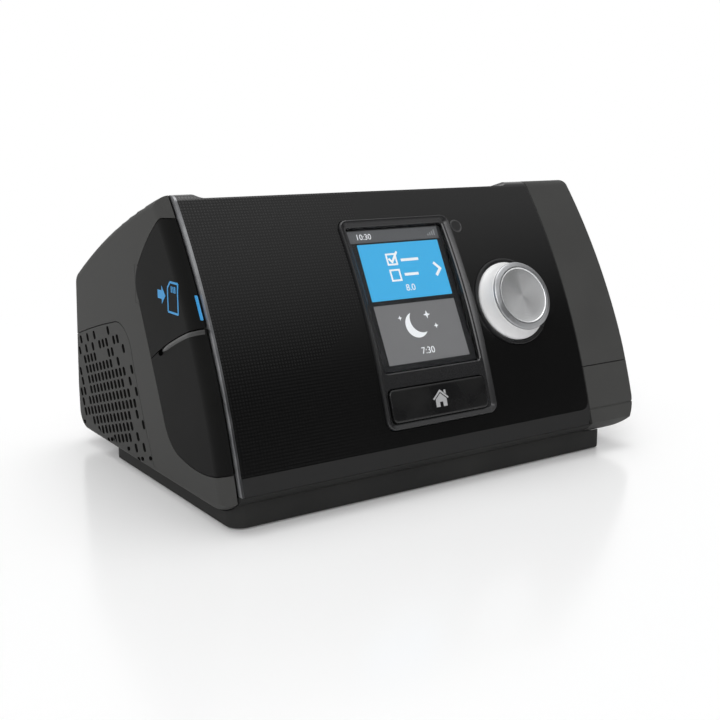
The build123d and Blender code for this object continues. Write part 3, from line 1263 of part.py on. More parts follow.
def heater_insulator():
    pad = box(HEATER_X - HEATER_LENGTH / 2 + 2, HEATER_X + HEATER_LENGTH / 2 - 2,
              HEATER_Y - HEATER_WIDTH / 2 + 2, HEATER_Y + HEATER_WIDTH / 2 - 2, PLATE_TOP, BAY_LOW + 0.4)
    return fillet(pad.edges().filter_by(Axis.Z), 3.0)


def tub_shell(x0, x1, wall):
    section = tub_outline()
    return prism(section, x0, x1) - prism(inset(section, wall), x0 + wall, x1 - wall)


def tub_base():
    """Water tub, open to its lid, with a window in its floor for the heat plate."""
    tub = tub_shell(TUB_LEFT, X_TUB_END, TUB_WALL) & box(-10, 90, -80, 80, 0, TUB_RIM)
    for y in (INLET_PORT_Y, OUTLET_PORT_Y):
        tub -= rod(PORT_RADIUS - 1.5, (TUB_LEFT - 1, y, PORT_Z - 0.5), (TUB_LEFT + 4, y, PORT_Z - 0.5))
    return tub - heat_plate_blank(0.1)


def heat_plate_blank(grow):
    plate = box(HEATER_X - HEATER_LENGTH / 2 - grow, HEATER_X + HEATER_LENGTH / 2 + grow,
                HEATER_Y - HEATER_WIDTH / 2 - grow, HEATER_Y + HEATER_WIDTH / 2 + grow,
                TUB_FLOOR - 0.2, TUB_FLOOR + 1.0)
    return fillet(plate.edges().filter_by(Axis.Z), 4.0)


def tub_heat_plate():
    return heat_plate_blank(0.0)


def tub_seal():
    seal = prism(tub_outline(), TUB_LEFT, X_TUB_END)
    seal -= prism(inset(tub_outline(), TUB_WALL + 1), TUB_LEFT + 3, X_TUB_END - 3)
    return seal & box(-10, 90, -80, 80, TUB_RIM, TUB_RIM + TUB_SEAL)


def tub_lid():
    return tub_shell(TUB_LEFT, X_TUB_END, TUB_WALL) & box(-10, 90, -80, 80, TUB_RIM + TUB_SEAL, 100)


def end_profile(amount):
    """Right end seen from the front, as (X, Z): rounded below, leaning in above the crease."""
    x1 = X_RIGHT - amount
    floor = UNDERSIDE - 0.2 + amount
    side = make_face([
        Polyline((X_TUB_END - 1, 130.0), (X_TUB_END - 1, floor), (x1 - 16.0, floor)),
        ThreePointArc((x1 - 16.0, floor), (x1 - 4.2, floor + 5.4), (x1, floor + 16.0)),
        Polyline((x1, floor + 16.0), (x1, 46.0), (x1 - 2.4, 130.0), (X_TUB_END - 1, 130.0)),
    ])
    return Plane.XZ.offset(-100) * side


def tub_end_form(amount):
    form = prism(inset(OUTLINE, amount), X_TUB_END, X_RIGHT + 1)
    form &= extrude(end_profile(amount), amount=200)
    if amount:
        return form
    rim = [e for e in form.edges() if e.center().X > X_RIGHT - 3 and e.center().Z > 20.0
           and abs(e.tangent_at(0.5).Y) < 0.98]
    return fillet(rim, TUB_END_ROUND)


def tub_end_shell():
    """End cover of the tub, as one shell before it is split at its seam."""
    shell = tub_end_form(0.0) - (tub_end_form(WALL) & box(X_TUB_END + WALL, 200, -200, 200, 0, 200))
    return shell


def tub_end_cover():
    return TUB_END & box(50, 200, -100, 100, TUB_SPLIT + PANEL_GAP / 2, 200)


def tub_end_base():
    return TUB_END & box(50, 200, -100, 100, 0, TUB_SPLIT - PANEL_GAP / 2)


TUB_END = tub_end_shell()


# ----------------------------------------------------------------------------
# Power inlet and cord clip
# ----------------------------------------------------------------------------
def power_inlet():
    """Low-voltage inlet socket with two round pins and a centre blade."""
    shell = box(POWER_X - 10, POWER_X + 10, POWER_FLOOR - 12.0, Y_REAR - 2.0, POWER_Z - 6, POWER_Z + 6)
    shell = fillet(shell.edges().filter_by(Axis.Y), 2.0)
    hole = box(POWER_X - 8.2, POWER_X + 8.2, POWER_FLOOR - 6.0, Y_FAR_REAR, POWER_Z - 4.4, POWER_Z + 4.4)
    shell -= fillet(hole.edges().filter_by(Axis.Y), 1.2)
    pins = [rod(0.9, (POWER_X + dx, POWER_FLOOR - 7.0, POWER_Z), (POWER_X + dx, POWER_FLOOR - 1.0, POWER_Z))
            for dx in (-4.4, 0.0, 4.4)]
    return shell + pins


def retention_clip():
    """Swinging loop that holds the power plug in: two arms, a cross bar and two pivots."""
    half = CLIP_WIDTH / 2 - 0.4
    y, z = CLIP_AXIS
    loop = box(POWER_X - half, POWER_X + half, y - 1.2, y + 1.0, z, CLIP_HIGH - 1.5)
    loop -= box(POWER_X - half + 2.6, POWER_X + half - 2.6, y - 5, y + 5, z - 5, CLIP_HIGH - 4.5)
    for side in (-1, 1):
        a, b = POWER_X + side * half, POWER_X + side * (half - 2.6)
        loop += rod(1.8, (min(a, b), y, z), (max(a, b), y, z))
        loop += rod(1.0, (POWER_X + side * (half - 0.5), y, z), (POWER_X + side * (half + 1.6), y, z))
    return loop


# ----------------------------------------------------------------------------
# Write every node
# ----------------------------------------------------------------------------
NODES = [
    main_housing, front_fascia, trim_strip, base_tray, rubber_feet, base_screws,
    card_cover, card_cover_pin, adapter_cover, filter_cover,
    display_bezel, display_lens, lcd_module, lcd_frame, home_button, home_button_switch,
    start_stop_button, start_stop_switch, start_stop_board,
    dial_ring, dial_knob, dial_cap, encoder_shaft, encoder_plunger, dial_encoder, light_sensor_lens,
    main_board, board_screws, memory_card, card_socket, adapter_connector,
    air_filter, muffler_box, muffler_lid, muffler_foam,
    blower_volute_lower, blower_volute_upper, blower_motor, rotor_shaft, impeller, blower_mounts,
    outlet_bellows, riser_duct, outlet_duct, air_outlet, tube_contacts,
    tub_bay, port_seals, heater_plate, heater_insulator,
    tub_base, tub_heat_plate, tub_seal, tub_lid, tub_end_cover, tub_end_base,
    power_inlet, retention_clip,
]

if __name__ == "__main__":
    os.makedirs("parts", exist_ok=True)
    for make in NODES:
        shape = make()
        if isinstance(shape, list):
            shape = Compound(children=shape)
        export_step(shape, f"parts/{make.__name__}.step")
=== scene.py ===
import math

import bmesh
import bpy
from mathutils import Matrix, Vector
from mathutils.bvhtree import BVHTree


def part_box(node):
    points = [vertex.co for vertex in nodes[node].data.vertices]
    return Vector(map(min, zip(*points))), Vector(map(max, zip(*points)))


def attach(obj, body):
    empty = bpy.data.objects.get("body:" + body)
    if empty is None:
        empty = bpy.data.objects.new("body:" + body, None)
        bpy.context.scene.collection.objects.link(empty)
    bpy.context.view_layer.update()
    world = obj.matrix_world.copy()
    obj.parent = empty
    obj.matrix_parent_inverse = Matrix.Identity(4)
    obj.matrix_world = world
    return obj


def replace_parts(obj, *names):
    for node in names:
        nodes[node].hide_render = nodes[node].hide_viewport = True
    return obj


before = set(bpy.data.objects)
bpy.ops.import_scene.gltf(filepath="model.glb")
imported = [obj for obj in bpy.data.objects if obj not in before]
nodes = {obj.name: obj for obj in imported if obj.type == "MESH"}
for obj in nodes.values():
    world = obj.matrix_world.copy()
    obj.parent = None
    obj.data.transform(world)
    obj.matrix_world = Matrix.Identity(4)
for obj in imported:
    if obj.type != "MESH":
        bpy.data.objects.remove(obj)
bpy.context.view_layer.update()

MM = 0.001                # a millimetre in the scene's metres
WELD = 0.002              # mm; vertices nearer than this become one

# Curve of the front face, seen from the end, in mm: centre and foot as (y, z), radius, and the foot's angle.
FACE_CENTRE = (189.874, -47.101)
FACE_FOOT = (-73.0, 20.5)
FACE_RADIUS = 271.427
FACE_START = math.atan2(FACE_FOOT[1] - FACE_CENTRE[1], FACE_FOOT[0] - FACE_CENTRE[0])

# Places on the front face, in mm: across from the middle, and up along the face from its foot.
BEZEL_PLACE, BEZEL_SIZE, BEZEL_CORNER = (-6.2, 49.0), (54.8, 85.6), 4.0
WINDOW_PLACE, WINDOW_SIZE, WINDOW_CORNER = (-6.3, 58.5), (49.6, 62.4), 2.0
WINDOW_COVERED = 0.45     # width of the window's edge that the frame covers
HOME_PLACE, HOME_SIZE, HOME_CORNER = (-6.8, 15.3), (47.4, 12.9), 2.1
HOME_GAP, HOME_PROUD = 0.5, 1.0
SENSOR_PLACE, SENSOR_RADIUS = (24.8, 86.5), 2.3
DIAL_PLACE = (41.5, 50.9)
SCREEN_TOP = -3.4         # upper side of the display's panel, below the face


def box_mm(node):
    """Lowest and highest corner of a CAD node."""
    return [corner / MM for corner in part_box(node)]


def front_matrix(place, out=0.0):
    """Frame that stands on the front face: X across, Y up the face, Z outwards; takes mm to metres."""
    x, s = place
    angle = FACE_START - s / FACE_RADIUS
    reach = FACE_RADIUS + out
    origin = Vector((x, FACE_CENTRE[0] + reach * math.cos(angle), FACE_CENTRE[1] + reach * math.sin(angle)))
    axes = ((1, 0, 0), (0, math.sin(angle), -math.cos(angle)), (0, math.cos(angle), math.sin(angle)))
    return Matrix.Scale(MM, 4) @ Matrix.Translation(origin) @ Matrix(axes).transposed().to_4x4()


# ----------------------------------------------------------------------------
# Materials
# ----------------------------------------------------------------------------
def linear(hex_colour):
    """sRGB hex to the linear RGBA that the shader wants."""
    channels = [int(hex_colour[i:i + 2], 16) / 255 for i in (1, 3, 5)]
    return [c / 12.92 if c <= 0.04045 else ((c + 0.055) / 1.055) ** 2.4 for c in channels] + [1.0]


def shaded(hex_colour, share):
    """The same hex colour, darker."""
    return "#" + "".join(f"{int(int(hex_colour[i:i + 2], 16) * share):02x}" for i in (1, 3, 5))


def material(name, values):
    """Node material with these values on its Principled shader: returns it, its tree and that shader."""
    made = bpy.data.materials.new(name)
    made.use_nodes = True
    shader = made.node_tree.nodes["Principled BSDF"]
    for socket, value in values.items():
        shader.inputs[socket].default_value = value
    return made, made.node_tree, shader


def add(tree, kind, inputs=(), **settings):
    """Adds a node with its settings and returns its outputs. inputs are values, or the outputs that feed it,
    by socket or in the sockets' order."""
    node = tree.nodes.new("ShaderNode" + kind)
    for setting, value in settings.items():
        setattr(node, setting, value)
    for socket, value in inputs.items() if isinstance(inputs, dict) else enumerate(inputs):
        if isinstance(value, bpy.types.NodeSocket):
            tree.links.new(value, node.inputs[socket])
        else:
            node.inputs[socket].default_value = value
    return node.outputs


SMOOTH = {"interpolation_type": "SMOOTHSTEP"}      # of a ramp with soft ends


def tint(tree, socket, pattern, colour, second):
    """Feeds a colour socket with the blend of two hex colours that a pattern gives."""
    blend = add(tree, "Mix", {0: pattern, 6: linear(colour), 7: linear(second)}, data_type="RGBA")
    tree.links.new(blend[2], socket)


def roughen(tree, shader, pattern, low, spread):
    """Roughness that a pattern raises from `low` by up to `spread`."""
    rough = add(tree, "Math", [pattern, spread, low], operation="MULTIPLY_ADD")[0]
    tree.links.new(rough, shader.inputs["Roughness"])


def grain(tree, shader, size_mm, height_mm):
    """Fine moulded grain as bump; returns the grain's own value."""
    noise = add(tree, "TexNoise", {
        "Vector": add(tree, "TexCoord")["Object"], "Scale": 1.0 / (size_mm * MM), "Detail": 2.0,
        "Roughness": 0.6})[0]
    bump = add(tree, "Bump", {"Height": noise, "Distance": height_mm * MM, "Strength": 1.0})[0]
    tree.links.new(bump, shader.inputs["Normal"])
    return noise


def mottle(tree, size_mm):
    """Slow variation over the surface, 0 to 1."""
    noise = add(tree, "TexNoise", {
        "Vector": add(tree, "TexCoord")["Object"], "Scale": 1.0 / (size_mm * MM), "Detail": 3.0,
        "Roughness": 0.5})[0]
    return add(tree, "MapRange", [noise, 0.35, 0.65])[0]


GRAIN_SHARE = 0.35        # of a moulding's change of tone; the slow mottle has the rest


def moulded_abs(name, colour, lighter, roughness=0.52, gloss=0.04):
    """ABS moulded in a spark-eroded tool: even fine grain that spreads the highlight and holds it back.
    The real grain is near 0.1 mm; it is drawn at 0.55 mm so that it shows."""
    made, tree, shader = material(name, {"Specular IOR Level": gloss, "IOR": 1.53})
    fine = grain(tree, shader, size_mm=0.55, height_mm=0.02)
    slow = mottle(tree, size_mm=38.0)
    rest = add(tree, "Math", [slow, 1.0 - GRAIN_SHARE], operation="MULTIPLY")[0]
    both = add(tree, "Math", [fine, GRAIN_SHARE, rest], operation="MULTIPLY_ADD")[0]
    tint(tree, shader.inputs["Base Color"], both, colour, lighter)
    roughen(tree, shader, slow, low=roughness - 0.04, spread=0.08)
    return made


def unrolled_face(tree):
    """Place on the curved front face laid flat, in mm: across, up along its curve, and 0."""
    from_centre = add(tree, "VectorMath", [
        add(tree, "TexCoord")["Object"], [1.0 / MM] * 3, (0.0, -FACE_CENTRE[0], -FACE_CENTRE[1])],
        operation="MULTIPLY_ADD")[0]
    x, y, z = add(tree, "SeparateXYZ", [from_centre])
    angle = add(tree, "Math", [z, y], operation="ARCTAN2")[0]
    risen = add(tree, "Math", [FACE_START, angle], operation="SUBTRACT")[0]
    s = add(tree, "Math", [risen, FACE_RADIUS], operation="MULTIPLY")[0]
    return add(tree, "CombineXYZ", [x, s, 0.0])[0]


DOT_PITCH = 1.25                      # mm
DOT_EDGE = (0.248, 0.40)              # soft edge of a dot, from its middle, as shares of the pitch


def dots_in_rows(tree, flat):
    """Rows of small dots over the flat place: 1 on a dot, 0 between."""
    cells = add(tree, "VectorMath", [flat, [DOT_PITCH] * 3], operation="DIVIDE")[0]
    in_cell = add(tree, "VectorMath", [cells], operation="FRACTION")[0]
    off = add(tree, "VectorMath", [in_cell, (0.5, 0.5, 0.0)], operation="SUBTRACT")[0]
    reach = add(tree, "VectorMath", [off], operation="LENGTH")["Value"]
    return add(tree, "MapRange", [reach, *DOT_EDGE, 1.0, 0.0], **SMOOTH)[0]


DOTS_PAINTED_HIGHLIGHT_ACROSS = (-70.0, 10.0, 1.0, 0.3)         # two places across the face, and the strength of the painted highlight on the dots at each
DOTS_PAINTED_HIGHLIGHT_UPWARD = (15.0, 85.0, 0.45, 1.0)         # and two up the face, for the same painted highlight
LIP_CORNER, LIP_RADIUS = (69.0, 3.8), 4.0     # middle and radius of the black field's lower right corner


def dotted_gloss_front():
    """Gloss black PC/ABS front under a clear hard coat. Small raised dots of a lighter grey catch a glint; a
    painted highlight makes their grey strongest on the upper left and fades it to deep black on the right and
    low down; the lip below the black field is plain dark grey."""
    made, tree, shader = material("gloss_black_dotted_front", {"IOR": 1.42})
    flat = unrolled_face(tree)
    x, s, _ = add(tree, "SeparateXYZ", [flat])
    # Painted highlight: the dots' grey is strongest at the upper left and fades towards the right and down
    # the face.
    across = add(tree, "MapRange", [x, *DOTS_PAINTED_HIGHLIGHT_ACROSS], **SMOOTH)[0]
    upward = add(tree, "MapRange", [s, *DOTS_PAINTED_HIGHLIGHT_UPWARD], **SMOOTH)[0]
    strength = add(tree, "Math", [across, upward], operation="MULTIPLY")[0]

    past_corner = add(tree, "VectorMath", [flat, (1.0, -1.0, 0.0), (-LIP_CORNER[0], LIP_CORNER[1], 0.0)],
                      operation="MULTIPLY_ADD")[0]
    outside = add(tree, "VectorMath", [past_corner, (0.0, 0.0, 0.0)], operation="MAXIMUM")[0]
    reach = add(tree, "VectorMath", [outside], operation="LENGTH")["Value"]
    on_lip = add(tree, "Math", [reach, LIP_RADIUS], operation="GREATER_THAN")[0]
    on_field = add(tree, "Math", [1.0, on_lip], operation="SUBTRACT")[0]

    dots_with_painted_highlight = add(tree, "Math", [dots_in_rows(tree, flat), strength], operation="MULTIPLY")[0]
    dots = add(tree, "Math", [dots_with_painted_highlight, on_field], operation="MULTIPLY")[0]
    field = add(tree, "Mix", {0: dots, 6: linear("#0a0a0a"), 7: linear("#1c1c1c")}, data_type="RGBA")[2]
    tone = add(tree, "Mix", {0: on_lip, 6: field, 7: linear("#2f2f2f")}, data_type="RGBA")[2]
    tree.links.new(tone, shader.inputs["Base Color"])
    roughen(tree, shader, dots, low=0.16, spread=0.20)
    bump = add(tree, "Bump", {"Height": dots, "Distance": 0.03 * MM, "Strength": 0.5})[0]
    tree.links.new(bump, shader.inputs["Normal"])
    return made


def bright_trim():
    """Thin strip with a bright electroplated finish that is faintly uneven."""
    made, tree, shader = material("bright_plated_trim", {"Metallic": 1.0, "Roughness": 0.28})
    grain(tree, shader, size_mm=0.8, height_mm=0.01)
    tint(tree, shader.inputs["Base Color"], mottle(tree, size_mm=12.0), "#7b7c7e", "#a5a6a8")
    return made


def satin_bezel():
    """Satin dark grey lacquer on a moulded frame: a tight but soft highlight."""
    made, tree, shader = material("satin_grey_lacquer", {"Metallic": 0.4, "Roughness": 0.27, "IOR": 1.6})
    fine = grain(tree, shader, size_mm=0.5, height_mm=0.006)
    tint(tree, shader.inputs["Base Color"], fine, "#2a2a2b", "#323233")
    return made


def gloss_moulding(name, colour, lighter):
    """Gloss moulded key or ring, slightly softened by fingertips."""
    made, tree, shader = material(name, {"IOR": 1.49})
    slow = mottle(tree, size_mm=14.0)
    tint(tree, shader.inputs["Base Color"], slow, colour, lighter)
    roughen(tree, shader, slow, low=0.22, spread=0.12)
    return made


def clear_window():
    """Clear hard-coated acrylic: thin, colourless, a faint reflection."""
    return material("clear_acrylic_window", {
        "Base Color": linear("#fafbfc"), "Transmission Weight": 1.0, "Roughness": 0.0, "IOR": 1.12})[0]


PIXEL_PITCH = 0.5         # mm, as drawn


def lit_screen(name, colour, glow=0.85):
    """Backlit colour display: a dark matt panel whose light has the colour of what it shows.
    The pixel columns, 0.15 mm apart, are drawn 0.5 mm apart and hardly show."""
    made, tree, shader = material(name, {
        "Base Color": linear(shaded(colour, 0.4)), "Roughness": 0.45, "Emission Strength": glow})
    across = add(tree, "SeparateXYZ", [add(tree, "TexCoord")["Object"]])[0]
    columns = add(tree, "Math", [across, 1.0 / (PIXEL_PITCH * MM)], operation="MULTIPLY")[0]
    in_column = add(tree, "Math", [columns], operation="FRACT")[0]
    second_half = add(tree, "Math", [in_column, 0.5], operation="GREATER_THAN")[0]
    tint(tree, shader.inputs["Emission Color"], second_half, colour, shaded(colour, 0.97))
    return made


def ink(name, colour):
    """Screen-printed ink with slightly uneven cover."""
    made, tree, shader = material(name, {"Roughness": 0.5})
    fine = grain(tree, shader, size_mm=0.4, height_mm=0.004)
    tint(tree, shader.inputs["Base Color"], fine, shaded(colour, 0.9), colour)
    return made


def rings_on_dial(tree, pitch_mm):
    """Wave from 0 to 1 that runs outwards from the dial's axis."""
    turn = front_matrix(DIAL_PLACE)
    on_dial = add(tree, "Mapping", {
        "Vector": add(tree, "TexCoord")["Object"], "Location": turn.to_translation(),
        "Rotation": turn.to_euler(), "Scale": (MM, MM, MM)}, vector_type="TEXTURE")[0]
    flat = add(tree, "VectorMath", [on_dial, (1.0, 1.0, 0.0)], operation="MULTIPLY")[0]
    reach = add(tree, "VectorMath", [flat], operation="LENGTH")["Value"]
    phase = add(tree, "Math", [reach, 2 * math.pi / pitch_mm], operation="MULTIPLY")[0]
    wave = add(tree, "Math", [phase], operation="SINE")[0]
    return add(tree, "Math", [wave, 0.5, 0.5], operation="MULTIPLY_ADD")[0]


def marks_round_dial(tree, shader):
    """Turning marks run round the dial's axis, so the highlight spreads across them."""
    turn = front_matrix(DIAL_PLACE)
    axis = turn.to_3x3().col[2].normalized()
    spoke = add(tree, "VectorMath", [add(tree, "TexCoord")["Object"], turn.to_translation()],
                operation="SUBTRACT")[0]
    around = add(tree, "VectorMath", [spoke, axis], operation="CROSS_PRODUCT")[0]
    unit = add(tree, "VectorMath", [around], operation="NORMALIZE")[0]
    tree.links.new(unit, shader.inputs["Tangent"])


def spun_aluminium():
    """Aluminium faced on a lathe and clear anodised: the marks draw the light into two opposite wedges.
    The cutter marks, 0.05 mm apart, are drawn at 0.7 mm."""
    made, tree, shader = material("spun_aluminium", {
        "Metallic": 0.8, "Roughness": 0.26, "Anisotropic": 0.9})
    tint(tree, shader.inputs["Base Color"], rings_on_dial(tree, pitch_mm=0.7), "#d6d7d8", "#f0f1f2")
    marks_round_dial(tree, shader)
    return made


def frosted_aluminium():
    """Bead-blasted and silver anodised aluminium: an even, bright, nearly white side."""
    made, tree, shader = material("bead_blasted_aluminium", {"Metallic": 0.2, "Roughness": 0.5})
    fine = grain(tree, shader, size_mm=0.45, height_mm=0.006)
    tint(tree, shader.inputs["Base Color"], fine, "#f4f4f5", "#fcfcfc")
    return made


STREAK_LENGTH = 6.25      # mm
STREAK_SLIMNESS = 12.0    # times as long as wide


def plain_metal(name, colour, roughness):
    """Plain sheet or turned metal with faint rolling streaks."""
    made, tree, shader = material(name, {"Metallic": 1.0})
    squeezed = add(tree, "Mapping", {
        "Vector": add(tree, "TexCoord")["Object"], "Scale": (1.0, STREAK_SLIMNESS, 1.0)})[0]
    streaks = add(tree, "TexNoise", {
        "Vector": squeezed, "Scale": 1.0 / (STREAK_LENGTH * MM), "Detail": 3.0})[0]
    tint(tree, shader.inputs["Base Color"], streaks, shaded(colour, 0.82), colour)
    roughen(tree, shader, streaks, low=roughness - 0.08, spread=0.16)
    return made


def silicone_rubber():
    """Black silicone rubber: matt, with a faint bloom."""
    made, tree, shader = material("moulded_silicone_rubber", {"Roughness": 0.72, "IOR": 1.41})
    grain(tree, shader, size_mm=0.7, height_mm=0.03)
    tint(tree, shader.inputs["Base Color"], mottle(tree, size_mm=5.0), "#1d1d1e", "#2b2b2b")
    return made


def foam(name, colour, lighter, cell_mm):
    """Open-cell polyurethane foam or fibre pad: pits and walls at cell size."""
    made, tree, shader = material(name, {"Roughness": 0.9, "Specular IOR Level": 0.05})
    cells = add(tree, "TexVoronoi", {
        "Vector": add(tree, "TexCoord")["Object"], "Scale": 1.0 / (cell_mm * MM)})[0]
    tint(tree, shader.inputs["Base Color"], cells, colour, lighter)
    bump = add(tree, "Bump", {"Height": cells, "Distance": 0.3 * cell_mm * MM, "Strength": 0.8})[0]
    tree.links.new(bump, shader.inputs["Normal"])
    return made


def circuit_board():
    """Green solder mask over copper: tracks 0.4 mm wide show as lighter lines."""
    made, tree, shader = material("solder_masked_board", {"Roughness": 0.35, "IOR": 1.5})
    tracks = add(tree, "TexBrick", {
        "Vector": add(tree, "TexCoord")["Object"], "Scale": 1.0,
        "Mortar Size": 0.4 * MM, "Brick Width": 9.0 * MM, "Row Height": 3.5 * MM,
        "Color1": linear("#0d4a26"), "Color2": linear("#0a4020"), "Mortar": linear("#1f6b3a")})[0]
    tree.links.new(tracks, shader.inputs["Base Color"])
    return made


def smoke_polycarbonate():
    """Smoke-grey translucent polycarbonate, faintly cloudy."""
    made, tree, shader = material("smoke_polycarbonate", {
        "Transmission Weight": 0.55, "Roughness": 0.22, "IOR": 1.585})
    tint(tree, shader.inputs["Base Color"], mottle(tree, size_mm=20.0), "#8f989b", "#a7b0b3")
    return made


casing_abs = moulded_abs("fine_grained_casing_abs", "#434342", "#4a4a49")
cover_abs = moulded_abs("fine_grained_cover_abs", "#161616", "#1c1c1b", roughness=0.46, gloss=0.025)
base_abs = moulded_abs("moulded_base_abs", "#2b2b2b", "#343433", roughness=0.55)
inner_abs = moulded_abs("plain_inner_abs", "#8b8c8c", "#979898", roughness=0.6)
socket_nylon = moulded_abs("moulded_socket_nylon", "#202122", "#29292a", roughness=0.5)
# The ledge is the adapter cover's own rim; its grey, lighter than that cover's, is a painted highlight on its
# lit top.
ledge_painted_highlight_abs = moulded_abs("ledge_moulding_with_painted_highlight", "#383838", "#424241", roughness=0.36, gloss=0.25)
front_gloss = dotted_gloss_front()
trim_metal = bright_trim()
bezel_lacquer = satin_bezel()
home_gloss = gloss_moulding("gloss_home_key", "#0f0f10", "#161616")
start_gloss = gloss_moulding("gloss_start_key", "#0f0f10", "#161616")
window_clear = clear_window()
sensor_dark = gloss_moulding("smoked_sensor_window", "#08080a", "#101012")
sensor_grey = gloss_moulding("moulded_sensor_rim", "#303031", "#3b3b3c")
# Black with no gloss, for a bead that is painted shade where a slot would be dark.
painted_shade_black = moulded_abs("black_for_painted_slot_shade", "#030303", "#070707", gloss=0.0)
screen_dark = lit_screen("unlit_screen_ground", "#242527", glow=0.25)
screen_header = lit_screen("lit_screen_header", "#595a5c")
screen_blue = lit_screen("lit_screen_blue", "#43b4ec")
screen_grey = lit_screen("lit_screen_grey", "#767677")
screen_white = lit_screen("lit_screen_white", "#fbfdff")
screen_dim_white = lit_screen("lit_screen_dim_white", "#8d8f91")
home_ink = ink("printed_grey_ink", "#b4b5b6")
start_ink = ink("printed_white_ink", "#c9cacb")
blue_ink = ink("printed_blue_ink", "#2f9bdc")
knob_frosted = frosted_aluminium()
knob_spun = spun_aluminium()
knob_satin = plain_metal("satin_aluminium_rim", "#b4b5b7", roughness=0.38)
well_dark = gloss_moulding("dark_dial_well", "#151516", "#1f1f20")
steel = plain_metal("bright_drawn_steel", "#b9bbbd", roughness=0.32)
heater_metal = plain_metal("rolled_aluminium_sheet", "#c6c8ca", roughness=0.36)
gold_contact = plain_metal("gold_plated_contact", "#d8b25c", roughness=0.25)
black_rubber = silicone_rubber()
box_foam = foam("open_cell_foam", "#3a3a3c", "#57575a", cell_mm=2.2)
fibre_pad = foam("carbon_fibre_pad", "#0b0b0c", "#161617", cell_mm=1.1)
board_green = circuit_board()
tub_smoke = smoke_polycarbonate()
card_plastic = moulded_abs("memory_card_plastic", "#16345f", "#1d4077", roughness=0.45)

PIECES_BY_FINISH = (      # finish of each CAD node
    (casing_abs, "main_housing filter_cover tub_end_cover tub_end_base"),
    (cover_abs, "card_cover adapter_cover"),
    (base_abs, "base_tray"),
    (inner_abs, "lcd_frame home_button_switch start_stop_switch dial_encoder adapter_connector muffler_box"
                " muffler_lid blower_volute_lower blower_volute_upper impeller riser_duct outlet_duct"
                " tub_bay"),
    (socket_nylon, "air_outlet power_inlet retention_clip"),
    (front_gloss, "front_fascia"),
    (trim_metal, "trim_strip"),
    (bezel_lacquer, "display_bezel"),
    (home_gloss, "home_button"),
    (start_gloss, "start_stop_button"),
    (window_clear, "display_lens"),
    (sensor_dark, "light_sensor_lens"),
    (screen_dark, "lcd_module"),
    (knob_frosted, "dial_knob"),
    (knob_spun, "dial_cap"),
    (well_dark, "dial_ring"),
    (steel, "base_screws card_cover_pin encoder_shaft encoder_plunger board_screws card_socket blower_motor"
            " rotor_shaft tub_heat_plate"),
    (heater_metal, "heater_plate"),
    (gold_contact, "tube_contacts"),
    (black_rubber, "rubber_feet blower_mounts outlet_bellows port_seals tub_seal"),
    (box_foam, "muffler_foam heater_insulator"),
    (fibre_pad, "air_filter"),
    (board_green, "main_board start_stop_board"),
    (tub_smoke, "tub_base tub_lid"),
    (card_plastic, "memory_card"),
)
for finish, names in PIECES_BY_FINISH:
    for name in names.split():
        slots = nodes[name].data.materials
        slots.clear()
        slots.append(finish)


# ----------------------------------------------------------------------------
# Ways of making a piece; sizes are in mm
# ----------------------------------------------------------------------------
CORNER_POINTS = 9         # of each rounded corner
SMALLEST_CORNER = 0.15
ROW = 3.0                 # height of the rows that follow the front's curve
DRAPE_STEP = 0.5          # width of the strips that follow a rounded corner
DRAPE_HEIGHT = 40.0       # where a draped piece starts its way down, above the surface


def finished(name, shape, finish, body, sharp=32.0):
    """Makes a piece of a shape that is in place, in metres: normals out, edges over `sharp` degrees crisp."""
    bmesh.ops.remove_doubles(shape, verts=shape.verts, dist=WELD * MM)
    bmesh.ops.recalc_face_normals(shape, faces=shape.faces)
    for face in shape.faces:
        face.smooth = True
    for edge in shape.edges:
        edge.smooth = edge.calc_face_angle(math.pi) < math.radians(sharp)
    mesh = bpy.data.meshes.new(name)
    shape.to_mesh(mesh)
    shape.free()
    mesh.materials.append(finish)
    piece = bpy.data.objects.new(name, mesh)
    bpy.context.scene.collection.objects.link(piece)
    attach(piece, body)
    return piece


def moved(shape, matrix):
    """The whole shape, moved by a matrix."""
    bmesh.ops.transform(shape, matrix=matrix, verts=shape.verts)
    return shape


def cut(shape, point, normal, clear=False):
    """Cuts a shape by a plane, clears the side that the normal points to if asked, and returns the cut."""
    return bmesh.ops.bisect_plane(shape, geom=[*shape.verts, *shape.edges, *shape.faces], plane_co=point,
                                  plane_no=normal, clear_outer=clear)["geom_cut"]


def of_kind(kind, parts):
    """Only the vertices, edges or faces of a bmesh operator's result."""
    return [part for part in parts if isinstance(part, kind)]


def on_circle(centre, radius, angle):
    """Point of a circle, at an angle in radians."""
    return centre[0] + radius * math.cos(angle), centre[1] + radius * math.sin(angle)


def ring_edges(ring):
    """Edges between the vertices of a ring, each once and in the same order every run."""
    inside = set(ring)
    return list(dict.fromkeys(edge for vertex in ring for edge in vertex.link_edges
                              if edge.other_vert(vertex) in inside))


def rounded_ring(shape, size, corner, centre, level):
    """Closed ring of edges in the form of a rounded rectangle, drawn in mm."""
    ring = bmesh.ops.create_circle(shape, segments=4 * CORNER_POINTS, radius=1.0, cap_ends=False)["verts"]
    for count, vertex in enumerate(ring):
        quarter, step = divmod(count, CORNER_POINTS)
        across = 1 if quarter in (0, 3) else -1
        upward = 1 if quarter < 2 else -1
        middle = (centre[0] + across * (size[0] / 2 - corner), centre[1] + upward * (size[1] / 2 - corner))
        angle = math.radians(90.0 * (quarter + step / (CORNER_POINTS - 1)))
        vertex.co = (*on_circle(middle, corner, angle), level)
    return ring


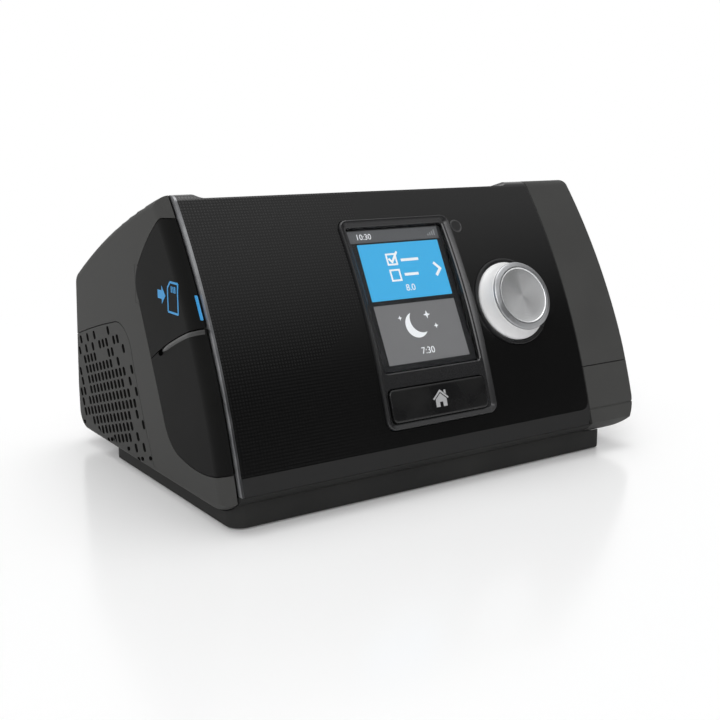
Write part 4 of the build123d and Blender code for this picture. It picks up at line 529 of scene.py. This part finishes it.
def stepped_rings(shape, size, corner, centre, steps):
    """Walls through a row of rounded rectangles; a step is (inset, level) in mm. Returns first and last."""
    rings = [rounded_ring(shape, (size[0] - 2 * inset, size[1] - 2 * inset),
                          max(corner - inset, SMALLEST_CORNER), centre, level) for inset, level in steps]
    for low, high in zip(rings, rings[1:]):
        bmesh.ops.bridge_loops(shape, edges=ring_edges(low) + ring_edges(high))
    return rings[0], rings[-1]


def rounded_block(size, corner, centre, steps):
    """Closed block with a rounded rectangle as its plan."""
    shape = bmesh.new()
    for ring in stepped_rings(shape, size, corner, centre, steps):
        bmesh.ops.contextual_create(shape, geom=ring_edges(ring))
    return shape


def cut_in_rows(shape, along, step):
    """Cuts a flat piece across one axis, so that it can follow a curve."""
    places = [vertex.co[along] for vertex in shape.verts]
    direction = Vector((along == 0, along == 1, 0))
    for row in range(1, int((max(places) - min(places)) / step) + 1):
        cut(shape, direction * (min(places) + row * step), direction)


def wrap_on_front(shape):
    """Lays a piece drawn flat in mm, as (across, up, out), on the curved front, cut in rows to follow it."""
    cut_in_rows(shape, 1, ROW)
    for vertex in shape.verts:
        x, s, out = vertex.co
        vertex.co = front_matrix((x, s), out) @ Vector()
    return shape


def turned(profile, steps=96):
    """Spins a profile of (radius, height) points about Z."""
    shape = bmesh.new()
    points = [shape.verts.new((radius, 0.0, height)) for radius, height in profile]
    edges = [shape.edges.new(pair) for pair in zip(points, points[1:])]
    bmesh.ops.spin(shape, geom=points + edges, cent=(0, 0, 0), axis=(0, 0, 1), dvec=(0, 0, 0),
                   angle=2 * math.pi, steps=steps, use_merge=True)
    bmesh.ops.remove_doubles(shape, verts=shape.verts, dist=WELD / 2)
    return shape


def skin_of(node):
    """Search tree of a CAD node's surface, in metres."""
    mesh = nodes[node].data
    return BVHTree.FromPolygons([v.co for v in mesh.vertices], [tuple(p.vertices) for p in mesh.polygons])


def merged_copy(node):
    """Welded copy of a CAD node's mesh, in metres."""
    shape = bmesh.new()
    shape.from_mesh(nodes[node].data)
    bmesh.ops.remove_doubles(shape, verts=shape.verts, dist=WELD * MM)
    return shape


def draped(shape, node, origin, across, up):
    """Lays a piece drawn flat in mm, as (across, up, out), on a CAD node's surface, straight along -out."""
    cut_in_rows(shape, 0, DRAPE_STEP)
    cut_in_rows(shape, 1, DRAPE_STEP)
    skin = skin_of(node)
    across, up = Vector(across), Vector(up)
    outward = across.cross(up)
    for vertex in shape.verts:
        u, v, out = vertex.co
        above = (Vector(origin) + across * u + up * v + outward * DRAPE_HEIGHT) * MM
        hit = skin.ray_cast(above, -outward)[0]
        vertex.co = hit + outward * out * MM
    return shape


def plates(outlines, low, high):
    """Flat plates cut to outlines of (across, up) points."""
    shape = bmesh.new()
    for outline in outlines:
        face = shape.faces.new([shape.verts.new((u, v, low)) for u, v in outline])
        top = bmesh.ops.extrude_face_region(shape, geom=[face], use_keep_orig=True)["geom"]
        bmesh.ops.translate(shape, verts=of_kind(bmesh.types.BMVert, top), vec=(0, 0, high - low))
    return shape


def bar(start, end, width):
    """Outline of a straight stroke."""
    a, b = Vector(start), Vector(end)
    side = (b - a).orthogonal().normalized() * width / 2
    return [a + side, a - side, b - side, b + side]


def bow(centre, radius, start, end, width, steps):
    """Outline of a stroke along part of a circle; angles in degrees."""
    angles = [math.radians(start + (end - start) * i / steps) for i in range(steps + 1)]
    outer = [on_circle(centre, radius + width / 2, angle) for angle in angles]
    inner = [on_circle(centre, radius - width / 2, angle) for angle in reversed(angles)]
    return outer + inner


def open_box(centre, size, width):
    """Four strokes round a square."""
    u, v = centre
    half, outer, inner = size / 2, (size + width) / 2, (size - width) / 2
    level = [bar((u - outer, v + side * half), (u + outer, v + side * half), width) for side in (-1, 1)]
    upright = [bar((u + side * half, v - inner), (u + side * half, v + inner), width) for side in (-1, 1)]
    return level + upright


def crescent(centre, radius, bite, turn, steps=20):
    """Outline of a moon: a circle less a second one moved sideways by `bite`, turned in radians."""
    reach = math.acos(bite / 2 / radius)
    outer = [on_circle((0.0, 0.0), radius, reach + (2 * math.pi - 2 * reach) * i / steps)
             for i in range(steps + 1)]
    inner = [on_circle((bite, 0.0), radius, math.pi + reach - 2 * reach * i / steps)
             for i in range(1, steps)]
    return [Vector(centre) + Matrix.Rotation(turn, 2) @ Vector(point) for point in outer + inner]


STAR_WAIST = 0.36         # inner radius of a star, as a share of its outer one


def star(centre, radius):
    """Four-pointed star."""
    return [on_circle(centre, radius * (STAR_WAIST if i % 2 else 1.0), math.radians(45.0 * i))
            for i in range(8)]


def shape_of(curve):
    """Bmesh of a text or a curve."""
    holder = bpy.data.objects.new(curve.name, curve)
    shape = bmesh.new()
    shape.from_mesh(bpy.data.meshes.new_from_object(holder))
    bpy.data.objects.remove(holder)
    return shape


def numerals(text, size, centre, low, high):
    """Plain digits as flat plates, in mm."""
    letters = bpy.data.curves.new("numerals", "FONT")
    letters.body = text
    letters.size = size
    letters.align_x = "CENTER"
    letters.align_y = "CENTER"
    letters.extrude = (high - low) / 2
    shape = shape_of(letters)
    bmesh.ops.remove_doubles(shape, verts=shape.verts, dist=WELD / 4)
    return moved(shape, Matrix.Translation((*centre, (low + high) / 2)))


def bead(name, points, radii, finish, body):
    """Rounded bead along a row of points in metres, thick as its radii in mm."""
    line = bpy.data.curves.new(name, "CURVE")
    line.dimensions = "3D"
    line.bevel_depth = MM
    line.bevel_resolution = 5
    line.use_fill_caps = True
    spline = line.splines.new("POLY")
    spline.points.add(len(points) - 1)
    for knot, point, radius in zip(spline.points, points, radii):
        knot.co = (*point, 1.0)
        knot.radius = radius
    return finished(name, shape_of(line), finish, body, sharp=50.0)


# ----------------------------------------------------------------------------
# Screen, in mm on its panel and under the clear window
# ----------------------------------------------------------------------------
AREA_LEVELS = (0.02, 0.07)          # lower and upper side of a lit area, above the panel
ICON_LEVELS = (0.08, 0.12)          # and of an icon or a readout
AREA_CORNER = 0.3
SCREEN_AREAS = (                    # left, right, low and high edge
    # The header reaches 3.5 mm further left than the tiles; that extra lit strip is a painted reflection on
    # the window's left side.
    ("screen_header", screen_header, (-23.2, 21.9, 23.9, 29.0)),
    ("screen_tile_upper", screen_blue, (-19.7, 20.5, -0.7, 23.2)),
    ("screen_tile_lower", screen_grey, (-19.7, 20.5, -27.0, -2.6)),
)
TICK_BOXES, TICK_BOX_SIZE = ((-5.0, 16.2), (-5.0, 9.4)), 4.4
TICK = (((-6.4, 16.6), (-4.9, 14.9)), ((-5.25, 14.75), (-1.6, 19.4)))
LIST_LINES = (((-0.6, 15.6), (8.2, 15.6)), ((-0.6, 9.4), (6.4, 9.4)))
NEXT_ARROW = (((15.2, 13.4), (18.2, 10.3)), ((18.2, 10.9), (15.2, 7.8)))
MOON = ((-1.6, -11.9), 5.4, 3.3, math.radians(35.0))
STARS = (((4.6, -8.2), 1.7), ((7.8, -13.2), 1.2), ((-8.8, -8.4), 1.1))
SIGNAL_PLACE, SIGNAL_PITCH, SIGNAL_HEIGHTS = (16.6, 25.2), 1.1, (0.8, 1.35, 1.9, 2.45)
BOX_STROKE, TICK_STROKE, LINE_STROKE, ARROW_STROKE, SIGNAL_STROKE = 0.75, 0.95, 1.15, 1.2, 0.6
READOUTS = (("readout_clock", "10:30", 3.4, (-15.6, 26.3)), ("readout_upper", "8.0", 3.9, (0.6, 3.7)),
            ("readout_lower", "7:30", 3.9, (0.6, -22.9)))


def screen_pieces():
    """Lit areas, generic icons and readouts of the display."""
    on_panel = front_matrix(WINDOW_PLACE, SCREEN_TOP)

    def lit(name, shape, finish):
        finished(name, moved(shape, on_panel), finish, "root")

    for name, finish, (left, right, low, high) in SCREEN_AREAS:
        middle = ((left + right) / 2, (low + high) / 2)
        steps = [(0.0, level) for level in AREA_LEVELS]
        lit(name, rounded_block((right - left, high - low), AREA_CORNER, middle, steps), finish)

    boxes = [stroke for middle in TICK_BOXES for stroke in open_box(middle, TICK_BOX_SIZE, BOX_STROKE)]
    tick = [bar(*ends, TICK_STROKE) for ends in TICK]
    lines = [bar(*ends, LINE_STROKE) for ends in LIST_LINES]
    lit("icon_tick_list", plates(boxes + tick + lines, *ICON_LEVELS), screen_white)
    lit("icon_next", plates([bar(*ends, ARROW_STROKE) for ends in NEXT_ARROW], *ICON_LEVELS), screen_white)
    night = [crescent(*MOON)] + [star(*one) for one in STARS]
    lit("icon_moon", plates(night, *ICON_LEVELS), screen_white)
    u, v = SIGNAL_PLACE
    bars = [bar((u + SIGNAL_PITCH * i, v), (u + SIGNAL_PITCH * i, v + height), SIGNAL_STROKE)
            for i, height in enumerate(SIGNAL_HEIGHTS)]
    lit("icon_signal", plates(bars, *ICON_LEVELS), screen_dim_white)
    for name, text, size, middle in READOUTS:
        lit(name, numerals(text, size, middle, *ICON_LEVELS), screen_white)


# ----------------------------------------------------------------------------
# Frame of the display and its key; a profile's points are (inset, level)
# ----------------------------------------------------------------------------
FRAME_BACK, FRAME_FLAT = -2.2, 0.15      # levels of the frame's back and of its flat bridge
FRAME_SLOPE = [(0.0, FRAME_BACK), (0.0, 0.6), (0.13, 0.93), (0.35, 1.16), (0.6, 1.25), (0.75, 1.2),
               (2.35, FRAME_FLAT)]
SCREEN_OPENING = [(0.0, FRAME_FLAT), (0.45, FRAME_FLAT - 0.35), (0.75, FRAME_BACK)]
KEY_OPENING = [(-0.12, FRAME_FLAT), (0.0, FRAME_FLAT - 0.15), (0.0, FRAME_BACK)]
KEY_CROWN = [(0.0, -1.4), (0.0, HOME_PROUD - 0.5), (0.12, HOME_PROUD - 0.22), (0.4, HOME_PROUD - 0.04),
             (0.9, HOME_PROUD)]
STEM_RADIUS, STEM_LENGTH, STEM_TOP = 2.6, 5.6, -1.0


def display_frame():
    """Raised frame: rounded outer edge, border that slopes inwards, flat bridge and two openings."""
    shape = bmesh.new()
    back, border = stepped_rings(shape, BEZEL_SIZE, BEZEL_CORNER, BEZEL_PLACE, FRAME_SLOPE)
    opening = [side - 2 * WINDOW_COVERED for side in WINDOW_SIZE]
    screen = stepped_rings(shape, opening, WINDOW_CORNER, WINDOW_PLACE, SCREEN_OPENING)
    hole = [side + 2 * HOME_GAP for side in HOME_SIZE]
    key = stepped_rings(shape, hole, HOME_CORNER + HOME_GAP, HOME_PLACE, KEY_OPENING)
    for rings in ((border, screen[0], key[0]), (back, screen[1], key[1])):
        edges = [edge for ring in rings for edge in ring_edges(ring)]
        bmesh.ops.triangle_fill(shape, use_beauty=True, use_dissolve=False, edges=edges)
    piece = finished("display_frame", wrap_on_front(shape), bezel_lacquer, "root", sharp=24.0)
    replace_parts(piece, "display_bezel")


def home_key():
    """Home key with softened edges on its stem."""
    shape = wrap_on_front(rounded_block(HOME_SIZE, HOME_CORNER, HOME_PLACE, KEY_CROWN))
    bmesh.ops.create_cone(shape, cap_ends=True, segments=24, radius1=STEM_RADIUS, radius2=STEM_RADIUS,
                          depth=STEM_LENGTH, matrix=front_matrix(HOME_PLACE, STEM_TOP - STEM_LENGTH / 2))
    piece = finished("home_key", shape, home_gloss, "home")
    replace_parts(piece, "home_button")


HOUSE_PLACE = (HOME_PLACE[0] + 0.1, HOME_PLACE[1] + 0.3)
HOUSE_WALLS = [(-2.7, -3.3), (-0.8, -3.3), (-0.8, -1.4), (0.8, -1.4), (0.8, -3.3), (2.7, -3.3), (2.7, -0.3),
               (0.0, 2.0), (-2.7, -0.3)]
HOUSE_ROOF = [(-3.9, 0.1), (0.0, 3.5), (3.9, 0.1), (3.4, -0.4), (0.0, 2.5), (-3.4, -0.4)]
HOUSE_CHIMNEY = [(1.9, 2.1), (2.8, 1.3), (2.8, 3.1), (1.9, 3.1)]
HOUSE_LEVELS = (HOME_PROUD + 0.01, HOME_PROUD + 0.05)


def house_mark():
    """Plain house outline printed on the home key."""
    shape = plates([HOUSE_WALLS, HOUSE_ROOF, HOUSE_CHIMNEY], *HOUSE_LEVELS)
    moved(shape, Matrix.Translation((*HOUSE_PLACE, 0.0)))
    finished("house_mark", wrap_on_front(shape), home_ink, "home")


# ----------------------------------------------------------------------------
# Dial and light sensor; a profile's points are (radius, height) in mm
# ----------------------------------------------------------------------------
KNOB_SIDE = [(0.0, 6.4), (14.2, 6.4), (14.52, 6.7), (14.86, 6.55), (15.35, 4.0), (16.6, 1.4), (16.93, 0.8),
             (17.0, 0.3), (16.95, -0.3), (16.6, -0.6), (15.2, -0.6), (14.0, 4.6), (0.0, 4.6)]
KNOB_FACE = [(0.0, 7.62), (3.0, 7.65), (6.0, 7.75), (9.0, 7.92), (11.2, 8.1), (11.5, 8.16), (11.65, 8.42),
             (11.85, 8.5), (12.02, 8.42), (12.1, 8.2), (12.1, 7.1), (0.0, 7.1)]
WELL_RING = [(17.4, -1.2), (17.4, 0.2), (17.55, 0.45), (17.9, 0.5), (18.5, 0.5), (18.8, 0.36), (18.9, 0.1),
             (18.9, -1.2), (17.4, -1.2)]
KNOB_RIM = [(12.3, 6.45), (12.3, 8.1), (12.42, 8.38), (12.7, 8.5), (13.0, 8.4), (13.5, 8.15), (14.1, 7.95),
            (14.45, 7.75), (14.65, 7.45), (14.72, 7.1), (14.55, 6.9), (14.3, 6.8), (14.2, 6.45),
            (12.3, 6.45)]


def dial_pieces():
    """Knob's side, its spun face, the ring of its well and its rim, all turned about the dial's axis."""
    for name, profile, finish, slot, body, node in (
            ("knob_side", KNOB_SIDE, knob_frosted, "knob", "dial", "dial_knob"),
            ("knob_face", KNOB_FACE, knob_spun, "knob", "dial", "dial_cap"),
            ("dial_well_ring", WELL_RING, well_dark, "bezel", "root", "dial_ring"),
            ("knob_rim", KNOB_RIM, knob_satin, "knob", "dial", "dial_knob")):
        shape = moved(turned(profile), front_matrix(DIAL_PLACE))
        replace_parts(finished(name, shape, finish, body, sharp=40.0), node)


RIM_INNER, RIM_OUTER = SENSOR_RADIUS + 0.02, SENSOR_RADIUS + 0.62
SENSOR_RIM = [(RIM_INNER, -0.3), (RIM_INNER, 0.1), (RIM_INNER + 0.15, 0.24), (RIM_OUTER - 0.15, 0.2),
              (RIM_OUTER, 0.0), (RIM_OUTER, -0.3), (RIM_INNER, -0.3)]


def sensor_rim():
    """Moulded rim round the light sensor."""
    shape = moved(turned(SENSOR_RIM, steps=40), front_matrix(SENSOR_PLACE))
    finished("sensor_rim", shape, sensor_grey, "root")


# ----------------------------------------------------------------------------
# Start/stop button
# ----------------------------------------------------------------------------
STANDBY_RADIUS, STANDBY_STROKE = 2.3, 0.55
STANDBY_ARC = (125.0, 415.0)             # degrees; the gap at the top holds the upright stroke
STANDBY_UPRIGHT = ((0.0, 0.7), (0.0, 3.0))
STANDBY_LEVELS = (0.01, 0.04)


def standby_mark():
    """Standby symbol printed on the start/stop button."""
    arc = bow((0.0, 0.0), STANDBY_RADIUS, *STANDBY_ARC, STANDBY_STROKE, steps=28)
    symbol = plates([arc, bar(*STANDBY_UPRIGHT, STANDBY_STROKE)], *STANDBY_LEVELS)
    low, high = box_mm("start_stop_button")
    draped(symbol, "start_stop_button", (low + high) / 2, (1, 0, 0), (0, 1, 0))
    finished("standby_mark", symbol, start_ink, "start_stop")


# ----------------------------------------------------------------------------
# Left end: adapter cover, card cover and air inlet cover
# ----------------------------------------------------------------------------
SEAM = ((-80.0, 77.0), (-41.7, 67.8), (-9.5, 52.5))       # between the card and adapter covers, as (y, z)
LEDGE_DROP, LEDGE_SINK = 1.35, 0.45                       # ledge's middle below that seam and under the skin
LEDGE_X = -106.0                                          # outside the straight part of that end
LEDGE_YS = [-21.5 - 1.5 * i for i in range(15)]
LEDGE_TIP, LEDGE_SWELL, LEDGE_RADIUS = 0.55, 0.15, 1.0    # radius at its tip, its growth and its full size
CORNER_AXIS, CORNER_REACH = (-91.5, -43.0), 14.0          # of the rounded front corner, and outside it
CORNER_ANGLES = [182.0 + 5.0 * i for i in range(10)]
SHADE_BEAD_SINK = 0.35                                          # black bead at the ledge's rear end: painted shade of a slot
SHADE_BEAD_YS, SHADE_BEAD_RADII = (-18.8, -19.7, -20.6, -21.5), (0.9, 1.25, 1.2, 0.9)


def seam_height(y):
    """Parabola through the seam's three points."""
    total = 0.0
    for i, (yi, zi) in enumerate(SEAM):
        others = [yj for j, (yj, _) in enumerate(SEAM) if j != i]
        total += zi * (y - others[0]) * (y - others[1]) / ((yi - others[0]) * (yi - others[1]))
    return total


def finger_ledge():
    """Rounded ledge under the adapter cover's seam, lighter than that cover as a painted highlight, and a
    black bead at its rear end that is painted shade of a slot.
    """
    skin = skin_of("adapter_cover")

    def on_skin(x, y, sink):
        point, normal, _, _ = skin.find_nearest(Vector((x, y, seam_height(y) - LEDGE_DROP)) * MM)
        return point - normal * sink * MM

    straight = [(LEDGE_X, y) for y in LEDGE_YS]
    rounded = [on_circle(CORNER_AXIS, CORNER_REACH, math.radians(angle)) for angle in CORNER_ANGLES]
    ledge = [on_skin(x, y, LEDGE_SINK) for x, y in straight + rounded]
    radii = [min(LEDGE_RADIUS, LEDGE_TIP + LEDGE_SWELL * i) for i in range(len(ledge))]
    bead("finger_ledge", ledge, radii, ledge_painted_highlight_abs, "adapter_door")
    # Painted shade: a black bead stands proud where the slot's shade falls.
    slot = [on_skin(LEDGE_X, y, SHADE_BEAD_SINK) for y in SHADE_BEAD_YS]
    bead("finger_ledge_painted_shade_bead", slot, SHADE_BEAD_RADII, painted_shade_black, "adapter_door")


CARD_MARK_PLACE, CARD_MARK_STROKE, CARD_MARK_LEVELS = (-102.5, -32.5, 79.4), 0.8, (0.02, 0.09)
CARD_OUTLINE = [(-4.3, -5.6), (4.3, -5.6), (4.3, 5.6), (-1.9, 5.6), (-4.3, 3.2)]
CARD_ARROW = [(-13.2, -1.6), (-9.6, -1.6), (-9.6, -3.4), (-6.4, 0.0), (-9.6, 3.4), (-9.6, 1.6), (-13.2, 1.6)]
CARD_CONTACTS = [((u, 1.9), (u, 4.2)) for u in (-0.9, 0.6, 2.1)]


def card_mark():
    """Outline of a memory card and an arrow, printed on the card cover."""
    sides = list(zip(CARD_OUTLINE, CARD_OUTLINE[1:] + CARD_OUTLINE[:1]))
    strokes = [bar(*ends, CARD_MARK_STROKE) for ends in sides + CARD_CONTACTS]
    mark = plates(strokes + [CARD_ARROW], *CARD_MARK_LEVELS)
    draped(mark, "card_cover", CARD_MARK_PLACE, (0, -1, 0), (0, 0, 1))
    finished("card_mark", mark, blue_ink, "card_door")


TAB_PLACE, TAB_SIZE, TAB_CORNER = (-99.4, -52.0, 77.5), (0.75, 8.4), 0.3
TAB_STEPS = [(0.0, -0.4), (0.0, 0.12), (0.15, 0.2)]       # as (inset, level)


def pull_tab():
    """Blue tab at the front edge of the card cover."""
    tab = rounded_block(TAB_SIZE, TAB_CORNER, (0.0, 0.0), TAB_STEPS)
    draped(tab, "card_cover", TAB_PLACE, (1, 0, 0), (0, 0, 1))
    finished("card_pull_tab", tab, blue_ink, "card_door")


BARREL_RADIUS = 1.84
PIN_SHOWS = 2.3                     # length of the pin that stands out of the barrel at each end
BARREL_SUNK = 0.04                  # its flat side, under the casing's skin


def hinge_barrel():
    """Barrel that turns in the hinge well and fills it flush with the casing."""
    shape = bmesh.new()
    low, high = box_mm("card_cover_pin")
    bmesh.ops.create_cone(shape, cap_ends=True, segments=40, radius1=BARREL_RADIUS, radius2=BARREL_RADIUS,
                          depth=high.z - low.z - 2 * PIN_SHOWS, matrix=Matrix.Translation((low + high) / 2))
    skin = box_mm("main_housing")[0].x
    opened = cut(shape, (skin + BARREL_SUNK, 0, 0), (-1, 0, 0), clear=True)
    bmesh.ops.contextual_create(shape, geom=of_kind(bmesh.types.BMEdge, opened))
    finished("card_hinge_barrel", moved(shape, Matrix.Scale(MM, 4)), casing_abs, "card_door")


GRILLE_ORIGIN = Vector((65.2, 15.2))             # middle of one slot, as (y, z)
GRILLE_ROW = Vector((-0.963, 0.269))
GRILLE_COLUMN = Vector((-0.413, -0.911))
GRILLE_PITCH = (4.25, 4.6)                       # along a row, along a column
COVER_WALL = 2.2                                 # thickness of the cover
SLOT_HALF, SLOT_CUT = (1.55, 0.85), 0.55         # half a slot's sides and its cut corners in the CAD cover
SLOT_CORNERS = 16                                # of a whole slot, on both sides of the cover
SLOT_ACROSS = 0.82                               # its new width, as a share of the old one
SLOT_LONG, SLOT_TAPER = 1.85, 0.75               # half its new height, and how much less at its sides
NEAR = 0.02                                      # places this close count as the same


def slot_corners(shape):
    """Corners of each slot by its column and row: vertex, middle of the slot, and place along and up it."""
    steps = Matrix((GRILLE_ROW * GRILLE_PITCH[0], GRILLE_COLUMN * GRILLE_PITCH[1])).transposed()
    upright = Vector((-GRILLE_ROW.y, GRILLE_ROW.x))
    slots = {}
    for vertex in shape.verts:
        point = Vector((vertex.co.y, vertex.co.z)) / MM - GRILLE_ORIGIN
        column, row = (round(count) for count in steps.inverted() @ point)
        middle = steps @ Vector((column, row))
        along, up = (point - middle).dot(GRILLE_ROW), (point - middle).dot(upright)
        off = max(abs(along) - SLOT_HALF[0], abs(up) - SLOT_HALF[1],
                  abs(along) + abs(up) - sum(SLOT_HALF) + SLOT_CUT)
        if abs(off) < NEAR:
            slots.setdefault((column, row), []).append((vertex, middle, along, up))
    return slots


def draw_out(corners):
    """Makes a slot tall and narrow along its column."""
    for vertex, middle, along, up in corners:
        reach = SLOT_LONG - SLOT_TAPER * (abs(up) < SLOT_HALF[1] - 5 * NEAR)
        place = middle + GRILLE_ROW * along * SLOT_ACROSS - GRILLE_COLUMN * math.copysign(reach, up)
        vertex.co.y, vertex.co.z = (GRILLE_ORIGIN + place) * MM


def lies_at(part, x):
    """Whether a face or an edge lies at this x, in mm."""
    return all(abs(vertex.co.x / MM - x) < NEAR / 2 for vertex in part.verts)


def inlet_grille():
    """Rear left cover with its whole slots drawn out along their columns; the slots' walls take the dark
    cover moulding as painted shade.
    """
    shape = merged_copy("filter_cover")
    outside = box_mm("filter_cover")[0].x
    sides = (outside, outside + COVER_WALL)
    slots = slot_corners(shape)
    rims = [{vertex for vertex, _, _, _ in corners} for corners in slots.values()]

    def in_slot(face):
        return any(all(vertex in rim for vertex in face.verts) for rim in rims)

    for face in [face for face in shape.faces if any(lies_at(face, x) for x in sides)]:
        shape.faces.remove(face)
    for corners in slots.values():
        if len(corners) == SLOT_CORNERS:
            draw_out(corners)
    for x in sides:
        edges = [edge for edge in shape.edges if edge.is_boundary and lies_at(edge, x)]
        filled = bmesh.ops.triangle_fill(shape, use_beauty=True, use_dissolve=False, edges=edges)["geom"]
        for face in of_kind(bmesh.types.BMFace, filled):
            if in_slot(face):
                shape.faces.remove(face)
    # Painted shade: faces of the slots' walls get the dark cover moulding.
    for face in shape.faces:
        face.material_index = int(in_slot(face))
    piece = finished("inlet_grille", shape, casing_abs, "filter_door")
    piece.data.materials.append(cover_abs)
    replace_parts(piece, "filter_cover")


# ----------------------------------------------------------------------------
# Right end
# ----------------------------------------------------------------------------
CREASE_LEVEL, CREASE_WIDTH, CREASE_DEPTH = 19.8, 0.5, 0.35
CREASE_CUTS = (-1.0, -0.4, 0.4, 1.0)             # its two sides and its floor's, in widths from its middle
CREASE_SUNK = 0.7                                # rows nearer to its middle than this are sunk


def tub_end_crease():
    """Lower part of the tub's end cover, with the fine crease line that runs round it."""
    shape = merged_copy("tub_end_base")
    for step in CREASE_CUTS:
        cut(shape, (0, 0, (CREASE_LEVEL + step * CREASE_WIDTH) * MM), (0, 0, 1))
    shape.normal_update()
    sunk = [vertex for vertex in shape.verts
            if abs(vertex.co.z / MM - CREASE_LEVEL) < CREASE_SUNK * CREASE_WIDTH]
    for vertex in sunk:
        vertex.co -= vertex.normal * CREASE_DEPTH * MM
    piece = finished("tub_end_lower", shape, casing_abs, "tub")
    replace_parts(piece, "tub_end_base")


# ----------------------------------------------------------------------------
# Floor, light and camera
# ----------------------------------------------------------------------------
FLOOR_SIZE = 6.0                    # metres from its middle to its edge
FLOOR_FADE = (0.16, 0.42)           # metres from its middle between which it turns plain white


def pale_floor():
    """Pale lacquered table top: soft mirror of what stands on it, fading to plain white far away."""
    made, tree, shader = material("pale_lacquered_floor", {
        "Base Color": linear("#f6f6f6"), "Roughness": 0.18, "Specular IOR Level": 0.3,
        "Emission Color": linear("#ffffff"), "Emission Strength": 0.10})
    away = add(tree, "VectorMath", [add(tree, "TexCoord")["Object"]], operation="LENGTH")["Value"]
    fade = add(tree, "MapRange", [away, *FLOOR_FADE], **SMOOTH)[0]
    white = add(tree, "Emission", {"Color": linear("#ffffff"), "Strength": 1.0})[0]
    mix = add(tree, "MixShader", [fade, shader.outputs[0], white])[0]
    tree.links.new(mix, tree.nodes["Material Output"].inputs["Surface"])
    return made


def lay_floor():
    """Wide flat floor under the object."""
    shape = bmesh.new()
    bmesh.ops.create_grid(shape, x_segments=1, y_segments=1, size=FLOOR_SIZE)
    mesh = bpy.data.meshes.new("floor")
    shape.to_mesh(mesh)
    shape.free()
    mesh.materials.append(pale_floor())
    floor = bpy.data.objects.new("floor", mesh)
    bpy.context.scene.collection.objects.link(floor)


SKY_LIGHT = 0.34                    # of the even sky that lights the object
SKY_FRONT = 0.08                    # of the sky in front, as gloss shows it
SKY_OVERHEAD = 0.75                 # and overhead; behind it is white
SKY_TURNS_WHITE = (0.0, 0.35)       # backward share of a direction between which it turns white
SKY_TURNS_BRIGHT = (0.30, 0.80)     # and upward share between which it turns bright
LAMPS = (                           # direction of the light, strength and spread in degrees
    ("left_front_lamp", (0.66, 0.74, -0.70), 1.15, 36.0),
    ("top_lamp", (-0.10, -0.15, -1.0), 1.35, 50.0),
)


def light_studio():
    """Even soft sky that gloss sees white behind, bright overhead and dim in front, and two broad lamps."""
    world = bpy.data.worlds.new("studio")
    bpy.context.scene.world = world
    world.use_nodes = True
    tree = world.node_tree
    even = tree.nodes["Background"]
    even.inputs["Color"].default_value = linear("#ffffff")
    even.inputs["Strength"].default_value = SKY_LIGHT
    _, back, height = add(tree, "SeparateXYZ", [add(tree, "TexCoord")["Generated"]])
    behind = add(tree, "MapRange", [back, *SKY_TURNS_WHITE, SKY_FRONT, 1.0], **SMOOTH)[0]
    overhead = add(tree, "MapRange", [height, *SKY_TURNS_BRIGHT, 0.0, SKY_OVERHEAD], **SMOOTH)[0]
    path = add(tree, "LightPath")
    brighter = add(tree, "Math", [behind, overhead], operation="MAXIMUM")[0]
    brightest = add(tree, "Math", [brighter, path["Is Camera Ray"]], operation="MAXIMUM")[0]
    shown = add(tree, "Background", {"Color": linear("#ffffff"), "Strength": brightest})[0]
    by_gloss = add(tree, "Math", [path["Is Glossy Ray"], path["Is Transmission Ray"]],
                   operation="MAXIMUM")[0]
    seen = add(tree, "Math", [path["Is Camera Ray"], by_gloss], operation="MAXIMUM")[0]
    mix = add(tree, "MixShader", [seen, even.outputs[0], shown])[0]
    tree.links.new(mix, tree.nodes["World Output"].inputs["Surface"])

    for name, toward, strength, spread in LAMPS:
        lamp = bpy.data.lights.new(name, "SUN")
        lamp.energy = strength
        lamp.angle = math.radians(spread)
        obj = bpy.data.objects.new(name, lamp)
        obj.rotation_euler = Vector(toward).to_track_quat("-Z", "Y").to_euler()
        bpy.context.scene.collection.objects.link(obj)


AZIMUTH, ELEVATION, ROLL = -0.598867, 0.213941, -0.000509      # of the camera, in radians
CAMERA_TARGET, CAMERA_DISTANCE = Vector((-6.4334, -12.7092, 40.9257)), 471.064      # mm
FOCAL_LENGTH, SENSOR_WIDTH = 1081.335 / 720, 36.0      # as a share of the sensor's width; mm


def set_camera():
    """Camera before the left front corner, slightly above the machine."""
    forward = Vector((-math.sin(AZIMUTH) * math.cos(ELEVATION), math.cos(AZIMUTH) * math.cos(ELEVATION),
                      -math.sin(ELEVATION)))
    right = forward.cross(Vector((0, 0, 1))).normalized()
    up = right.cross(forward)
    across = math.cos(ROLL) * right + math.sin(ROLL) * up
    upright = math.cos(ROLL) * up - math.sin(ROLL) * right
    data = bpy.data.cameras.new("camera")
    data.sensor_width = SENSOR_WIDTH
    data.lens = FOCAL_LENGTH * SENSOR_WIDTH
    data.clip_start = 0.01
    camera = bpy.data.objects.new("camera", data)
    turn = Matrix((across, upright, -forward)).transposed().to_4x4()
    camera.matrix_world = Matrix.Translation((CAMERA_TARGET - forward * CAMERA_DISTANCE) * MM) @ turn
    bpy.context.scene.collection.objects.link(camera)
    bpy.context.scene.camera = camera


screen_pieces()
display_frame()
home_key()
house_mark()
dial_pieces()
sensor_rim()
standby_mark()
finger_ledge()
card_mark()
pull_tab()
hinge_barrel()
inlet_grille()
tub_end_crease()
lay_floor()
light_studio()
set_camera()
bpy.context.scene.view_settings.view_transform = "Standard"
